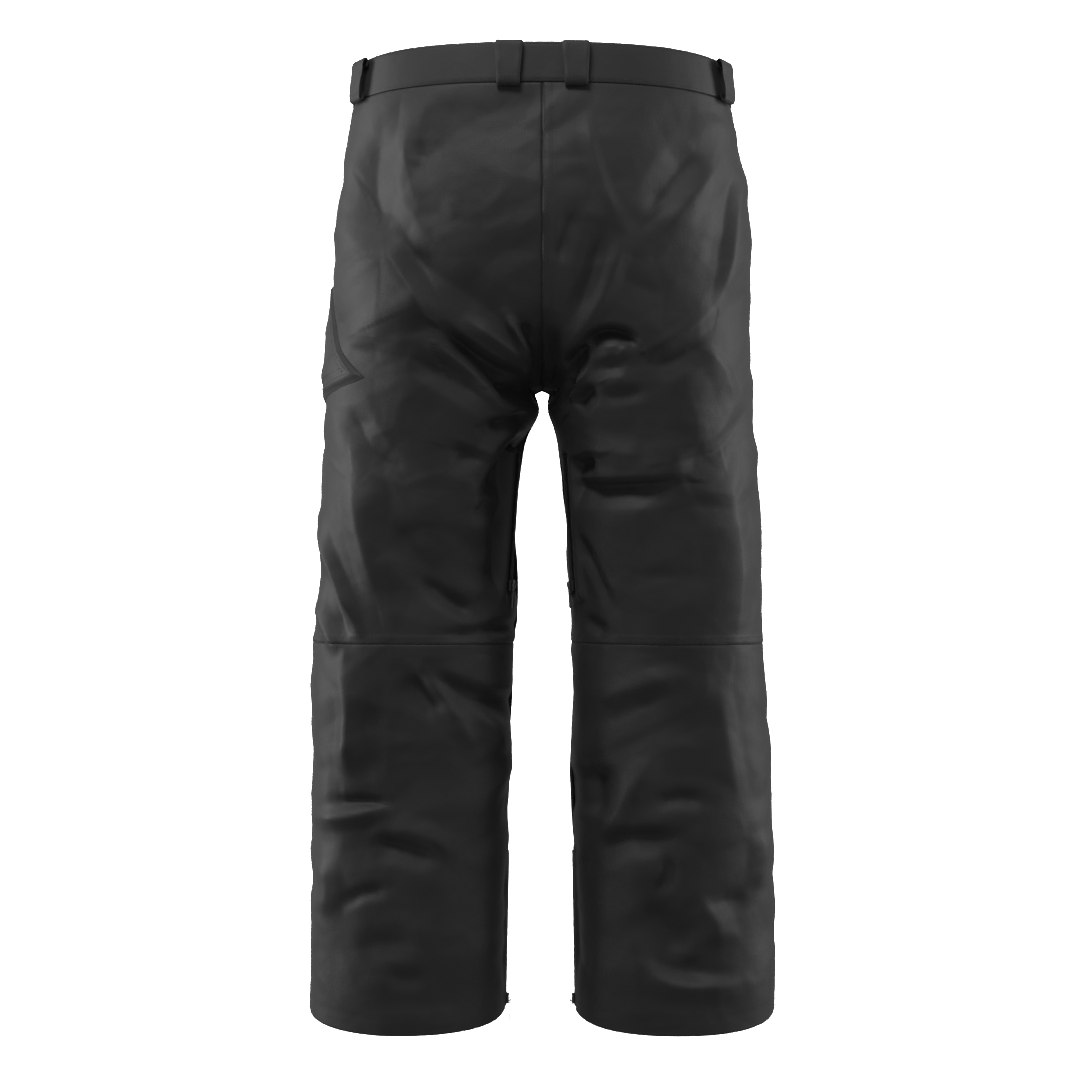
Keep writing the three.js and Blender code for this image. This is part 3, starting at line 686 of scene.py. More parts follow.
BACK_FOLDS: tuple[Fold, ...] = (
    Fold("left_hip_hollow", ((-171, -88), (-183, -128), (-183, -167), (-166, -202)), 15, -6),
    Fold("left_hip_ridge", ((-145, -97), (-146, -128), (-132, -174)), 8, 2.2),
    Fold("left_hip_dimple", ((-124, -105), (-127, -128)), 9, -1.6),
    Fold("left_seat_pucker", ((-97, -167), (-91, -195)), 6, 1),
    Fold("left_hip_plane", ((-172, -200), (-159, -228), (-132, -270), (-119, -306)), 26, 11, lean=-0.62),
    Fold("left_seat_fall", ((-161, -205), (-110, -248), (-55, -288), (-17, -318)), 15, -4.5),
    Fold("left_plane_foot", ((-215, -307), (-172, -314), (-124, -321)), 16, 3, lean=0.5),
    Fold("left_crotch_long", ((-105, -308), (-76, -331), (-44, -350), (-7, -358)), 10, -12, lean=-0.45),
    Fold("left_crotch_lip", ((-77, -299), (-45, -318), (-10, -342)), 5, 4),
    Fold("left_crotch_bright", ((-37, -291), (-25, -313), (-12, -335)), 3.5, 5.5),
    Fold("left_crotch_under", ((-121, -315), (-76, -348), (-36, -387)), 6, 5),
    Fold("left_crotch_slit", ((-48, -367), (-24, -368), (-4, -364)), 6.5, -8, lean=-0.3),
    Fold("left_crotch_second", ((-140, -334), (-97, -358), (-55, -382)), 9, -5),
    Fold("right_seat_v_left", ((46, -88), (55, -136), (78, -191)), 5, 2),
    Fold("right_seat_v_hollow", ((164, -113), (138, -148), (108, -187)), 13, -5),
    Fold("right_seat_v_right", ((125, -205), (164, -156), (193, -123)), 10, 3),
    Fold("right_seat_slit", ((36, -179), (22, -216), (16, -241)), 6, -2.5),
    Fold("right_seat_fall", ((64, -206), (51, -253), (36, -295)), 7, -3.5),
    Fold("right_seat_rise", ((88, -206), (71, -260), (49, -297), (20, -331)), 7, 2.4),
    Fold(
        "right_crotch_hook", ((42, -327), (54, -313), (73, -309), (91, -312), (102, -326)), 7.5, -10,
        lean=-0.45,
    ),
    Fold("right_crotch_roll", ((55, -332), (77, -321), (95, -332)), 6, 4),
    Fold("right_thigh_crest", ((99, -332), (138, -316), (175, -288), (191, -264)), 12, 3.5, lean=0.4),
    Fold("right_thigh_under", ((108, -349), (150, -332), (175, -314)), 10, -3),
    Fold("right_hip_edge", ((220, -110), (208, -167), (201, -215), (188, -276)), 10, 5, lean=0.5),
    Fold("right_hip_hollow", ((207, -113), (189, -183), (172, -253)), 14, -2.2),
    Fold("right_thigh_wedge", ((164, -321), (193, -342), (209, -381)), 7, 2, lean=-0.3),
    Fold("right_thigh_arc", ((229, -379), (213, -416), (184, -440), (138, -446)), 12, -5, lean=0.3),
    Fold("right_crotch_a", ((20, -348), (29, -337), (38, -330), (50, -329)), 7, -9, lean=-0.4),
    Fold("right_crotch_b", ((49, -350), (68, -347), (90, -344)), 5, -2.4),
    Fold("right_crotch_c", ((60, -377), (83, -376), (113, -372)), 5.5, -2.4),
    Fold("right_crotch_bright", ((20, -382), (40, -359), (44, -344)), 3, 5),
    Fold("right_thigh_notch", ((18, -447), (36, -448), (56, -440)), 8, -8, lean=-0.5),
    Fold("right_thigh_roll", ((48, -427), (75, -435), (108, -438)), 9, 3.5),
    Fold("right_thigh_spindle", ((14, -470), (60, -472), (99, -471), (152, -466)), 8, -9, lean=-0.45),
    Fold("right_thigh_over", ((33, -457), (82, -458), (134, -459)), 9, 1.5),
    Fold("right_vent_crease", ((36, -522), (53, -557), (75, -601)), 4.5, -4.5),
    Fold("right_knee_nick", ((40, -613), (55, -620), (69, -630)), 5, -3),
    Fold("left_thigh_wedge", ((-13, -411), (-33, -438), (-48, -464), (-60, -482)), 10, -9, lean=0.5),
    Fold("left_thigh_lip", ((-18, -392), (-47, -423), (-77, -464)), 7, 4),
    Fold("left_thigh_slit", ((-58, -406), (-36, -402), (-14, -390)), 5.5, -6, lean=-0.4),
    Fold("left_thigh_blot", ((-97, -432), (-76, -439), (-55, -448)), 9, -5, lean=-0.4),
    Fold("left_inner_hollow", ((-23, -489), (-40, -540), (-51, -590)), 22, -9),
    Fold("left_inner_ridge", ((-65, -492), (-53, -535), (-63, -576)), 12, 5, lean=-0.3),
    Fold("left_knee_crease", ((-130, -570), (-100, -592), (-69, -609)), 6, -5),
    Fold("left_knee_line", ((-110, -630), (-69, -626), (-18, -619)), 5, -4),
    Fold("left_outer_streak", ((-239, -505), (-225, -557), (-197, -626)), 5, 6),
    Fold("left_outer_groove", ((-237, -557), (-219, -601), (-205, -636)), 6, -4),
    Fold("left_outer_lower", ((-245, -590), (-231, -622), (-213, -652)), 5, 4.5),
    Fold("left_thigh_step", ((-203, -384), (-192, -419), (-168, -448), (-142, -450)), 9, -4),
    Fold("left_thigh_slope", ((-160, -509), (-128, -549), (-97, -578)), 14, -3.5),
    Fold("left_outer_crest", ((-201, -460), (-192, -524), (-176, -590)), 13, 5, lean=0.4),
    Fold("left_calf_a", ((-142, -669), (-124, -696), (-102, -711)), 8, -6, lean=-0.3),
    Fold("left_calf_b", ((-118, -672), (-82, -692), (-45, -702), (-21, -704)), 9, -7, lean=-0.3),
    Fold("left_calf_rib", ((-132, -667), (-102, -702), (-69, -756)), 7, 4),
    Fold("left_calf_rib_two", ((-86, -698), (-55, -727), (-38, -765)), 9, 4),
    Fold("left_calf_edge", ((-210, -665), (-203, -721), (-210, -783)), 12, 6, lean=0.5),
    Fold("left_calf_hollow", ((-183, -698), (-187, -741), (-183, -791)), 10, -5),
    Fold("left_shin_crease", ((-221, -809), (-194, -808), (-160, -810)), 4, -4),
    Fold("left_shin_roll", ((-243, -830), (-205, -826), (-164, -815)), 6, 5),
    Fold("left_shin_arc", ((-185, -856), (-156, -852), (-124, -861), (-104, -874)), 9, -6, lean=-0.3),
    Fold("left_shin_swell", ((-166, -837), (-132, -841), (-100, -859)), 9, 3),
    Fold("left_ankle_arc", ((-213, -919), (-192, -907), (-164, -901)), 5, -3.5),
    Fold("left_ankle_dent", ((-199, -967), (-164, -958), (-132, -963)), 10, -3),
    Fold("left_hem_dent", ((-164, -992), (-142, -1000), (-122, -992)), 7, -3),
    Fold("left_ankle_pool", ((-235, -872), (-227, -904), (-235, -936)), 9, 5),
    Fold("right_calf_a", ((53, -727), (97, -711), (138, -690)), 11, -4),
    Fold("right_calf_b", ((64, -760), (113, -739), (164, -709)), 11, -3.5),
    Fold("right_calf_rib", ((59, -698), (108, -683), (164, -669)), 8, 2.5),
    Fold("right_inner_hollow", ((51, -770), (55, -798), (55, -830)), 16, -8),
    Fold("right_calf_band", ((61, -856), (90, -802), (130, -756)), 9, 4),
    Fold("right_shin_line", ((118, -812), (148, -802), (178, -808)), 6, -4),
    Fold("right_shin_arc", ((55, -867), (79, -849), (114, -844), (148, -849)), 9, -6, lean=-0.3),
    Fold("right_shin_tick", ((138, -863), (138, -884), (122, -909)), 5, -4),
    Fold("right_ankle_pool", ((110, -913), (130, -943), (156, -975)), 17, -7),
    Fold("right_ankle_plane", ((170, -909), (189, -936), (193, -967)), 11, 4),
    Fold("right_ankle_smile", ((114, -984), (134, -1002), (172, -1008), (219, -1002)), 8, 5, lean=-0.3),
    Fold("right_ankle_over", ((108, -973), (138, -988), (189, -990)), 8, -3),
    Fold("right_ankle_soft", ((172, -923), (201, -915), (227, -913)), 8, -3),
    Fold("right_outer_pool", ((235, -839), (241, -872), (235, -909)), 8, 4),
    Fold("right_outer_crest", ((201, -460), (214, -557), (207, -644)), 14, 4, lean=-0.4),
    Fold("right_calf_edge", ((189, -669), (196, -741), (214, -818)), 13, 3, lean=-0.4),
    Fold("crotch_column", ((4, -300), (4, -330), (3, -362)), 8, -5),
    Fold("left_crotch_shade", ((-20, -299), (-7, -326)), 4, -4),
    Fold("right_crotch_sliver", ((32, -386), (45, -372), (56, -366)), 6.5, -7, lean=-0.3),
    Fold("right_crotch_dark", ((16, -384), (30, -366), (36, -355)), 5, -6),
    Fold("right_crotch_between", ((54, -360), (94, -358)), 7, 2),
)

FRONT_FOLDS: tuple[Fold, ...] = (
    Fold("left_fly_whisker", ((-18, -300), (-60, -285), (-120, -262)), 8, 4),
    Fold("left_fly_groove", ((-16, -322), (-62, -312), (-118, -296)), 7, -5),
    Fold("left_groin_roll", ((-26, -352), (-80, -344), (-140, -330)), 9, 5),
    Fold("left_groin_groove", ((-30, -372), (-86, -372), (-138, -362)), 7, -4.5),
    Fold("right_fly_whisker", ((20, -292), (66, -280), (128, -252)), 8, 4),
    Fold("right_fly_groove", ((18, -316), (70, -302), (124, -280)), 7, -5),
    Fold("right_groin_roll", ((24, -350), (78, -338), (134, -318)), 9, 5),
    Fold("right_groin_groove", ((32, -376), (90, -370), (150, -352)), 7, -4.5),
    Fold("left_hip_drape", ((-170, -90), (-150, -180), (-110, -270)), 16, -4),
    Fold("right_hip_drape", ((168, -84), (146, -170), (112, -262)), 16, -4),
    Fold("left_thigh_sweep", ((-40, -430), (-96, -470), (-170, -500)), 12, 4),
    Fold("right_thigh_sweep", ((46, -420), (104, -452), (180, -476)), 12, 4),
    Fold("left_thigh_groove", ((-50, -470), (-110, -506), (-172, -524)), 9, -4),
    Fold("right_thigh_groove", ((52, -452), (112, -486), (176, -504)), 9, -4),
    Fold("left_knee_upper", ((-52, -596), (-110, -582), (-190, -592)), 10, -4),
    Fold("left_knee_roll", ((-56, -622), (-120, -612), (-200, -622)), 12, 5),
    Fold("left_knee_lower", ((-58, -676), (-124, -690), (-206, -676)), 9, -4.5),
    Fold("right_knee_upper", ((54, -590), (118, -578), (196, -590)), 10, -4),
    Fold("right_knee_roll", ((56, -618), (126, -608), (206, -620)), 12, 5),
    Fold("right_knee_lower", ((60, -680), (128, -692), (204, -672)), 9, -4.5),
    Fold("left_shin_break", ((-60, -800), (-120, -822), (-196, -806)), 10, -4),
    Fold("left_shin_roll", ((-66, -836), (-130, -850), (-200, -838)), 12, 5),
    Fold("right_shin_break", ((62, -812), (128, -828), (200, -806)), 10, -4),
    Fold("right_shin_roll", ((64, -846), (132, -858), (206, -840)), 12, 5),
    Fold("left_hem_break", ((-80, -930), (-130, -940), (-188, -922)), 10, -4),
    Fold("right_hem_break", ((84, -924), (142, -936), (196, -918)), 10, -4),
)


@dataclass(frozen=True)
class SeamLook:
    """How a felled seam stands in the cloth, in millimetres."""

    groove: float = 0.9
    groove_width: float = 1.5
    fell: float = 9.0  # width of the folded allowance beside the seam
    fell_rise: float = 0.7

    def relief(self, across: Array, felled: bool = True) -> Array:
        """The seam's height.

        Args:
            across: signed distance from the seam, positive where the allowance is folded.
            felled: False for a plain seam.

        Returns:
            Millimetres outwards.
        """
        height = -self.groove * bell(across, self.groove_width)
        if felled:
            height = height + self.fell_rise * smoothstep(across, 0.8, 2.2) * smoothstep(
                across, self.fell + 1.4, self.fell
            )
        return height


@dataclass
class Cloth:
    """The garment's surface with its folds and seams."""

    shape: GarmentShape = field(default_factory=GarmentShape)
    seam: SeamLook = field(default_factory=SeamLook)
    noise: Noise = field(default_factory=lambda: Noise(7))
    calm: float = 15.0  # mm below the waistband over which folds fade in
    gain: float = 1.9  # every authored fold is this much deeper than it is listed
    arch: float = 3.6  # how far the inner legs draw back just below the crotch
    sag: float = 4.5  # how far the crotch hangs down
    join: float = 16.0  # mm beside the middle over which the seat's normals turn to meet
    draw_span: tuple[float, float] = (110, 10)  # mm from the inseam where the arch starts, is full
    zips: list = field(default_factory=list)

    def relief(self, side: Side, u: Array, depth: Array) -> Array:
        """How far the cloth stands off the smooth surface.

        Args:
            side: which side of the wearer.
            u: place round the half or leg.
            depth: millimetres below the waist.

        Returns:
            Millimetres outwards.
        """
        u, depth = np.broadcast_arrays(np.asarray(u, float), np.asarray(depth, float))
        form = u.shape
        u, depth = u.ravel(), depth.ravel()
        shape = self.shape
        base = shape.outline(u, depth)
        x, z = base[:, 0] * side.value, base[:, 2]
        leg = depth > shape.crotch
        behind = smoothstep(u, 0.56, 0.47) * np.where(leg, smoothstep(u, -0.03, 0.02), 1)
        before = smoothstep(u, 0.47, 0.56) * np.where(leg, smoothstep(u, 1.03, 0.98), 1)
        other = smoothstep(depth, shape.crotch + 45, shape.crotch)
        folds = np.zeros(len(u))
        for share, strokes in ((behind, BACK_FOLDS), (before, FRONT_FOLDS)):
            for fold in strokes:
                own = (fold.path[0][0] > 0) == (side.value > 0)
                folds += fold.relief(x, z) * share * (1 if own else other)
        spot = base * [side.value, 1, 1]
        drape = self.drape(spot, depth)
        fade = smoothstep(depth, shape.waistband - 6, shape.waistband + self.calm * 2)
        steady = 0.45 + 0.55 * smoothstep(depth, shape.outseam - 2, shape.outseam - 60)
        height = fade * steady * (self.gain * folds + drape) + self.seams(side, u, depth, base)
        for plan in self.zips:
            if side in plan.sides and not plan.on_pocket:
                near, target = plan.channel(spot)
                height = height * (1 - near) + target * near
        return height.reshape(form)

    def drape(self, spot: Array, depth: Array) -> Array:
        """The unplanned part of the relief: a slow sway and crumples with flat sides.

        Args:
            spot: the smooth surface's points, N by 3.
            depth: N depths.

        Returns:
            N millimetres outwards. It calms down round the crotch, which also sinks in.
        """
        warp = 34 * np.stack([self.noise.at(spot + k, (80, 80, 70)) for k in (511, 622, 733)], -1)
        drape = 4.0 * self.noise.at(spot + 31, (95, 120, 130))
        drape += 5.5 * self.noise.facets(spot + 0.6 * warp + 77, (85, 85, 105))
        drape += 2.4 * self.noise.facets(spot + warp + 140, (50, 50, 34))
        drape += 0.4 * self.noise.at(spot + 11, (15, 19, 13))
        centre = np.hypot(spot[:, 0], spot[:, 2] + self.shape.crotch - 2)
        drape *= 0.45 + 0.55 * smoothstep(centre, 70, 170)
        return drape - 8 * bell(centre, 26) * smoothstep(depth, self.shape.crotch + 40, self.shape.crotch)

    def seams(self, side: Side, u: Array, depth: Array, base: Array) -> Array:
        """The part of the relief that the seams make.

        Args:
            side: which side of the wearer.
            u: N places round the half or leg.
            depth: N depths.
            base: the smooth surface's points there, N by 3.

        Returns:
            N millimetres outwards.
        """
        shape = self.shape
        height = np.zeros(len(u))
        upper = smoothstep(depth, shape.crotch + 6, shape.crotch - 6)
        felled_right = side.value * base[:, 0]
        back = u < 0.5
        height += upper * np.where(
            back, 0.5 * self.seam.relief(felled_right), self.seam.relief(base[:, 0], False)
        )
        height += self.seam.relief((0.5 - u) * LEG_ROUND)
        inseam = np.where(back, u, 1 - u) * LEG_ROUND
        height += (1 - upper) * self.seam.relief(inseam, False)
        height += 0.55 * self.seam.relief(shape.knee - depth)
        height -= 0.6 * bell(depth - shape.outseam + 17, 1.3)
        height += -1.6 * bell(depth - shape.waistband, 1.6)
        return height

    def surface(self, side: Side, u: Array, depth: Array, offset: float | Array = 0.0) -> Array:
        """Points on the folded cloth.

        Args:
            side: which side of the wearer.
            u: place round the half or leg.
            depth: millimetres below the waist.
            offset: millimetres further outwards.

        Returns:
            Points in millimetres, in the CAD frame.
        """
        base = self.shape.outline(u, depth)
        normal = self.shape.facing(u, depth)
        inwards = np.minimum(u, 1 - u) * HALF_ROUND
        joined = (inwards < self.join) & (np.asarray(depth) < self.shape.crotch)
        normal[..., 0] *= np.where(joined, smoothstep(inwards, 0, self.join), 1)
        points = base + normal * (self.relief(side, u, depth) + offset)[..., None]
        under = np.asarray(depth, float) - self.shape.crotch
        draw = self.arch * smoothstep(under, 0, 40) * np.exp(-np.maximum(under, 0) / 70)
        if side is Side.LEFT:
            draw = draw - 4.5 * bell(under - 28, 20)  # this thigh hangs straighter
        points[..., 0] += draw * smoothstep(inwards, *self.draw_span)
        points[..., 2] -= self.sag * bell(np.hypot(points[..., 0], points[..., 2] + self.shape.crotch), 34)
        points[..., 0] = np.maximum(points[..., 0], 0) * side.value
        return points

    def facing(self, side: Side, u: Array, depth: Array) -> Array:
        """The outward normals of the folded cloth.

        Args:
            side: which side of the wearer.
            u: place round the half or leg.
            depth: millimetres below the waist.

        Returns:
            Unit vectors, in the CAD frame.
        """
        u, depth = np.asarray(u, float), np.asarray(depth)
        low, high = np.maximum(u - STEP_U, 0), np.minimum(u + STEP_U, 1)
        around = self.surface(side, high, depth) - self.surface(side, low, depth)
        up = self.surface(side, u, depth - STEP_DEPTH) - self.surface(side, u, depth + STEP_DEPTH)
        normal = np.cross(around, up) * side.value
        return normal / np.maximum(np.linalg.norm(normal, axis=-1, keepdims=True), 1e-9)


# ---- Meshes -------------------------------------------------------------------------------


def mesh_piece(
    name: str, points: Array, faces: Sequence[Sequence[int]], uvs: Array | None = None
) -> bpy.types.Object:
    """Makes a smooth-shaded object from points in millimetres.

    Args:
        name: the piece's name.
        points: N by 3.
        faces: point numbers of each face, anticlockwise from outside.
        uvs: N by 2, in millimetres of cloth, or None.

    Returns:
        The object, at the origin.
    """
    mesh = bpy.data.meshes.new(name)
    mesh.from_pydata((np.asarray(points, float) * MM).tolist(), [], [list(f) for f in faces])
    if uvs is not None:
        layer = mesh.uv_layers.new(name=CLOTH_UV)
        index = np.zeros(len(mesh.loops), int)
        mesh.loops.foreach_get("vertex_index", index)
        layer.data.foreach_set("uv", (np.asarray(uvs, float) * MM)[index].ravel())
    mesh.polygons.foreach_set("use_smooth", [True] * len(mesh.polygons))
    mesh.update()
    made = bpy.data.objects.new(name, mesh)
    bpy.context.scene.collection.objects.link(made)
    return made


def grid_faces(columns: int, rows: int, flip: bool, wrap: bool = False) -> list[tuple[int, int, int, int]]:
    """Faces of a grid whose point number is row times columns plus column.

    Args:
        columns: points across.
        rows: points down.
        flip: True where columns run the other way seen from outside.
        wrap: True where the last column meets the first.

    Returns:
        The faces.
    """
    faces = []
    for j in range(rows - 1):
        for i in range(columns if wrap else columns - 1):
            a, b = j * columns + i, j * columns + (i + 1) % columns
            face = (a, a + columns, b + columns, b)
            faces.append(face[::-1] if flip else face)
    return faces


def apply_modifiers(piece: bpy.types.Object) -> bpy.types.Object:
    """Replaces a piece's mesh with its evaluated one and removes its modifiers.

    Args:
        piece: the object.

    Returns:
        The same object.
    """
    graph = bpy.context.evaluated_depsgraph_get()
    mesh = bpy.data.meshes.new_from_object(piece.evaluated_get(graph))
    mesh.name = piece.name
    piece.modifiers.clear()
    piece.data = mesh
    return piece


def thicken(
    piece: bpy.types.Object, thickness: float, outer: bpy.types.Material, inner: bpy.types.Material
) -> None:
    """Gives a one-sided sheet its thickness, inwards, with a lining inside.

    Args:
        piece: the sheet.
        thickness: millimetres.
        outer: material of the face and the edges.
        inner: material of the inner face.
    """
    piece.data.materials.append(outer)
    piece.data.materials.append(inner)
    wall = piece.modifiers.new("wall", "SOLIDIFY")
    wall.thickness = thickness * MM
    wall.offset = -1
    wall.material_offset = 1
    wall.material_offset_rim = 0
    apply_modifiers(piece)


# ---- Stitches, by Geometry Nodes ----------------------------------------------------------


@dataclass
class StitchTree:
    """Lays one small shape after another along every line of a piece."""

    name: str
    material: bpy.types.Material
    segments: int = 6
    rings: int = 4

    def build(self) -> bpy.types.NodeTree:
        """Builds the tree.

        Returns:
            A geometry tree with inputs Pitch, Length, Width and Height, in metres.
        """
        tree = bpy.data.node_groups.new(self.name, "GeometryNodeTree")
        face = tree.interface
        face.new_socket(name="Geometry", in_out="INPUT", socket_type="NodeSocketGeometry")
        for name in ("Pitch", "Length", "Width", "Height"):
            face.new_socket(name=name, in_out="INPUT", socket_type="NodeSocketFloat")
        face.new_socket(name="Geometry", in_out="OUTPUT", socket_type="NodeSocketGeometry")
        given = add_node(tree, "NodeGroupInput").outputs
        curve = add_node(tree, "GeometryNodeMeshToCurve", None, Mesh=given["Geometry"]).outputs[0]
        spaced = add_node(
            tree, "GeometryNodeResampleCurve", {"mode": "LENGTH"}, Curve=curve, Length=given["Pitch"]
        ).outputs[0]
        tangent = add_node(tree, "GeometryNodeInputTangent").outputs[0]
        outward = add_node(
            tree, "GeometryNodeInputNamedAttribute", {"data_type": "FLOAT_VECTOR"}, Name="outward"
        )
        turn = add_node(
            tree,
            "FunctionNodeAxesToRotation",
            {"primary_axis": "X", "secondary_axis": "Z"},
            in0=tangent,
            in1=outward.outputs[0],
        ).outputs[0]
        ball = add_node(
            tree, "GeometryNodeMeshUVSphere", None, Segments=self.segments, Rings=self.rings, Radius=0.5
        ).outputs[0]
        size = add_node(
            tree, "ShaderNodeCombineXYZ", None, X=given["Length"], Y=given["Width"], Z=given["Height"]
        ).outputs[0]
        shape = add_node(tree, "GeometryNodeTransform", None, Geometry=ball, Scale=size).outputs[0]
        laid = add_node(
            tree, "GeometryNodeInstanceOnPoints", None, Points=spaced, Instance=shape, Rotation=turn
        ).outputs[0]
        real = add_node(tree, "GeometryNodeRealizeInstances", None, Geometry=laid).outputs[0]
        smooth = add_node(tree, "GeometryNodeSetShadeSmooth", None, Geometry=real).outputs[0]
        dressed = add_node(
            tree, "GeometryNodeSetMaterial", None, Geometry=smooth, Material=self.material
        ).outputs[0]
        add_node(tree, "NodeGroupOutput", None, Geometry=dressed)
        return tree

    def lay(
        self, name: str, lines: Sequence[tuple[Array, Array]], pitch: float, size: tuple[float, float, float]
    ) -> bpy.types.Object:
        """Lays the shapes and makes them one plain mesh.

        Args:
            name: the piece's name.
            lines: points and outward directions of each line, in millimetres.
            pitch: spacing in millimetres.
            size: length, width and height of each shape in millimetres.

        Returns:
            The piece.
        """
        mesh = bpy.data.meshes.new(name)
        points, edges, ways = [], [], []
        for line, outward in lines:
            first = len(points)
            points += (np.asarray(line) * MM).tolist()
            ways += np.asarray(outward).tolist()
            edges += [(first + k, first + k + 1) for k in range(len(line) - 1)]
        mesh.from_pydata(points, edges, [])
        outward = mesh.attributes.new("outward", "FLOAT_VECTOR", "POINT")
        outward.data.foreach_set("vector", np.array(ways, np.float32).ravel())
        piece = bpy.data.objects.new(name, mesh)
        bpy.context.scene.collection.objects.link(piece)
        tree = bpy.data.node_groups.get(self.name) or self.build()
        sockets = {s.name: s.identifier for s in tree.interface.items_tree if s.in_out == "INPUT"}
        sewing = piece.modifiers.new("sewing", "NODES")
        sewing.node_group = tree
        for key, value in zip(("Pitch", "Length", "Width", "Height"), (pitch, *size)):
            sewing[sockets[key]] = value * MM
        apply_modifiers(piece)
        for attribute in [a.name for a in piece.data.attributes if a.name == "outward"]:
            piece.data.attributes.remove(piece.data.attributes[attribute])
        return piece


@dataclass
class Sewing:
    """Topstitching: a lockstitch of 3 mm in a heavy thread."""

    cloth: Cloth
    wardrobe: Wardrobe
    pitch: float = 3.4
    length: float = 2.7
    thread: float = 0.55

    def __post_init__(self) -> None:
        """Makes the tree that lays the stitches."""
        self.tree = StitchTree("lockstitch", self.wardrobe.get("thread"), 5, 3)

    def line(self, side: Side, us: Array, depths: Array, offset: float = 0.05) -> tuple[Array, Array]:
        """A line of stitches on the cloth.

        Args:
            side: which side of the wearer.
            us: places round the half or leg.
            depths: millimetres below the waist.
            offset: millimetres off the cloth.

        Returns:
            Its points and outward directions.
        """
        us, depths = np.broadcast_arrays(np.asarray(us, float), np.asarray(depths, float))
        return self.cloth.surface(side, us, depths, offset), self.cloth.facing(side, us, depths)

    def sew(self, name: str, lines: Sequence[tuple[Array, Array]]) -> bpy.types.Object:
        """Sews lines of stitches into one piece.

        Args:
            name: the piece's name.
            lines: from line(), or points and directions of any surface.

        Returns:
            The piece.
        """
        return self.tree.lay(name, lines, self.pitch, (self.length, self.thread, self.thread * 0.7))


# ---- Shared placing -----------------------------------------------------------------------


@dataclass
class Tailor:
    """What every sub-assembly needs: the cloth, the materials, the stitches and the frame."""

    cloth: Cloth
    wardrobe: Wardrobe
    sewing: Sewing

    def ride(self, piece: bpy.types.Object, body: str, slot: str, *nodes: str) -> bpy.types.Object:
        """Puts a finished piece on a body.

        Args:
            piece: the piece.
            body: the CAD body's name.
            slot: a material slot's name; not used.
            *nodes: CAD nodes that it stands for.

        Returns:
            The piece.
        """
        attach(piece, body)
        if nodes:
            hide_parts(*nodes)
        LOG.info("%s: %d faces on %s", piece.name, len(piece.data.polygons), body)
        return piece

    def stitch(self, name: str, lines: Sequence[tuple[Array, Array]], body: str, slot: str) -> None:
        """Sews lines of stitches and puts them on a body.

        Args:
            name: the piece's name.
            lines: points and outward directions of each.
            body: the CAD body's name.
            slot: a material slot's name; not used.
        """
        self.ride(self.sewing.sew(name, lines), body, slot)

    def bend(self, piece: bpy.types.Object, side: Side, slot: str, *nodes: str) -> bpy.types.Object:
        """Puts a finished piece of leg cloth across the knee, where it bends.

        Args:
            piece: the piece.
            side: which leg.
            slot: a material slot's name; not used.
            *nodes: CAD nodes that it stands for.

        Returns:
            The piece.
        """
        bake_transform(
            piece, Body.PANTS.value, Body.lower_leg(side).value, start=(0, 0, -0.60), end=(0, 0, -0.80)
        )
        if nodes:
            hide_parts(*nodes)
        LOG.info("%s: %d faces across the %s knee", piece.name, len(piece.data.polygons), side.word)
        return piece


# ---- Leg panels ---------------------------------------------------------------------------


class Part(Enum):
    """A quarter of the garment: its name and the ends of its u."""

    BACK = ("back", 0.0, 0.5)
    FRONT = ("front", 0.5, 1.0)


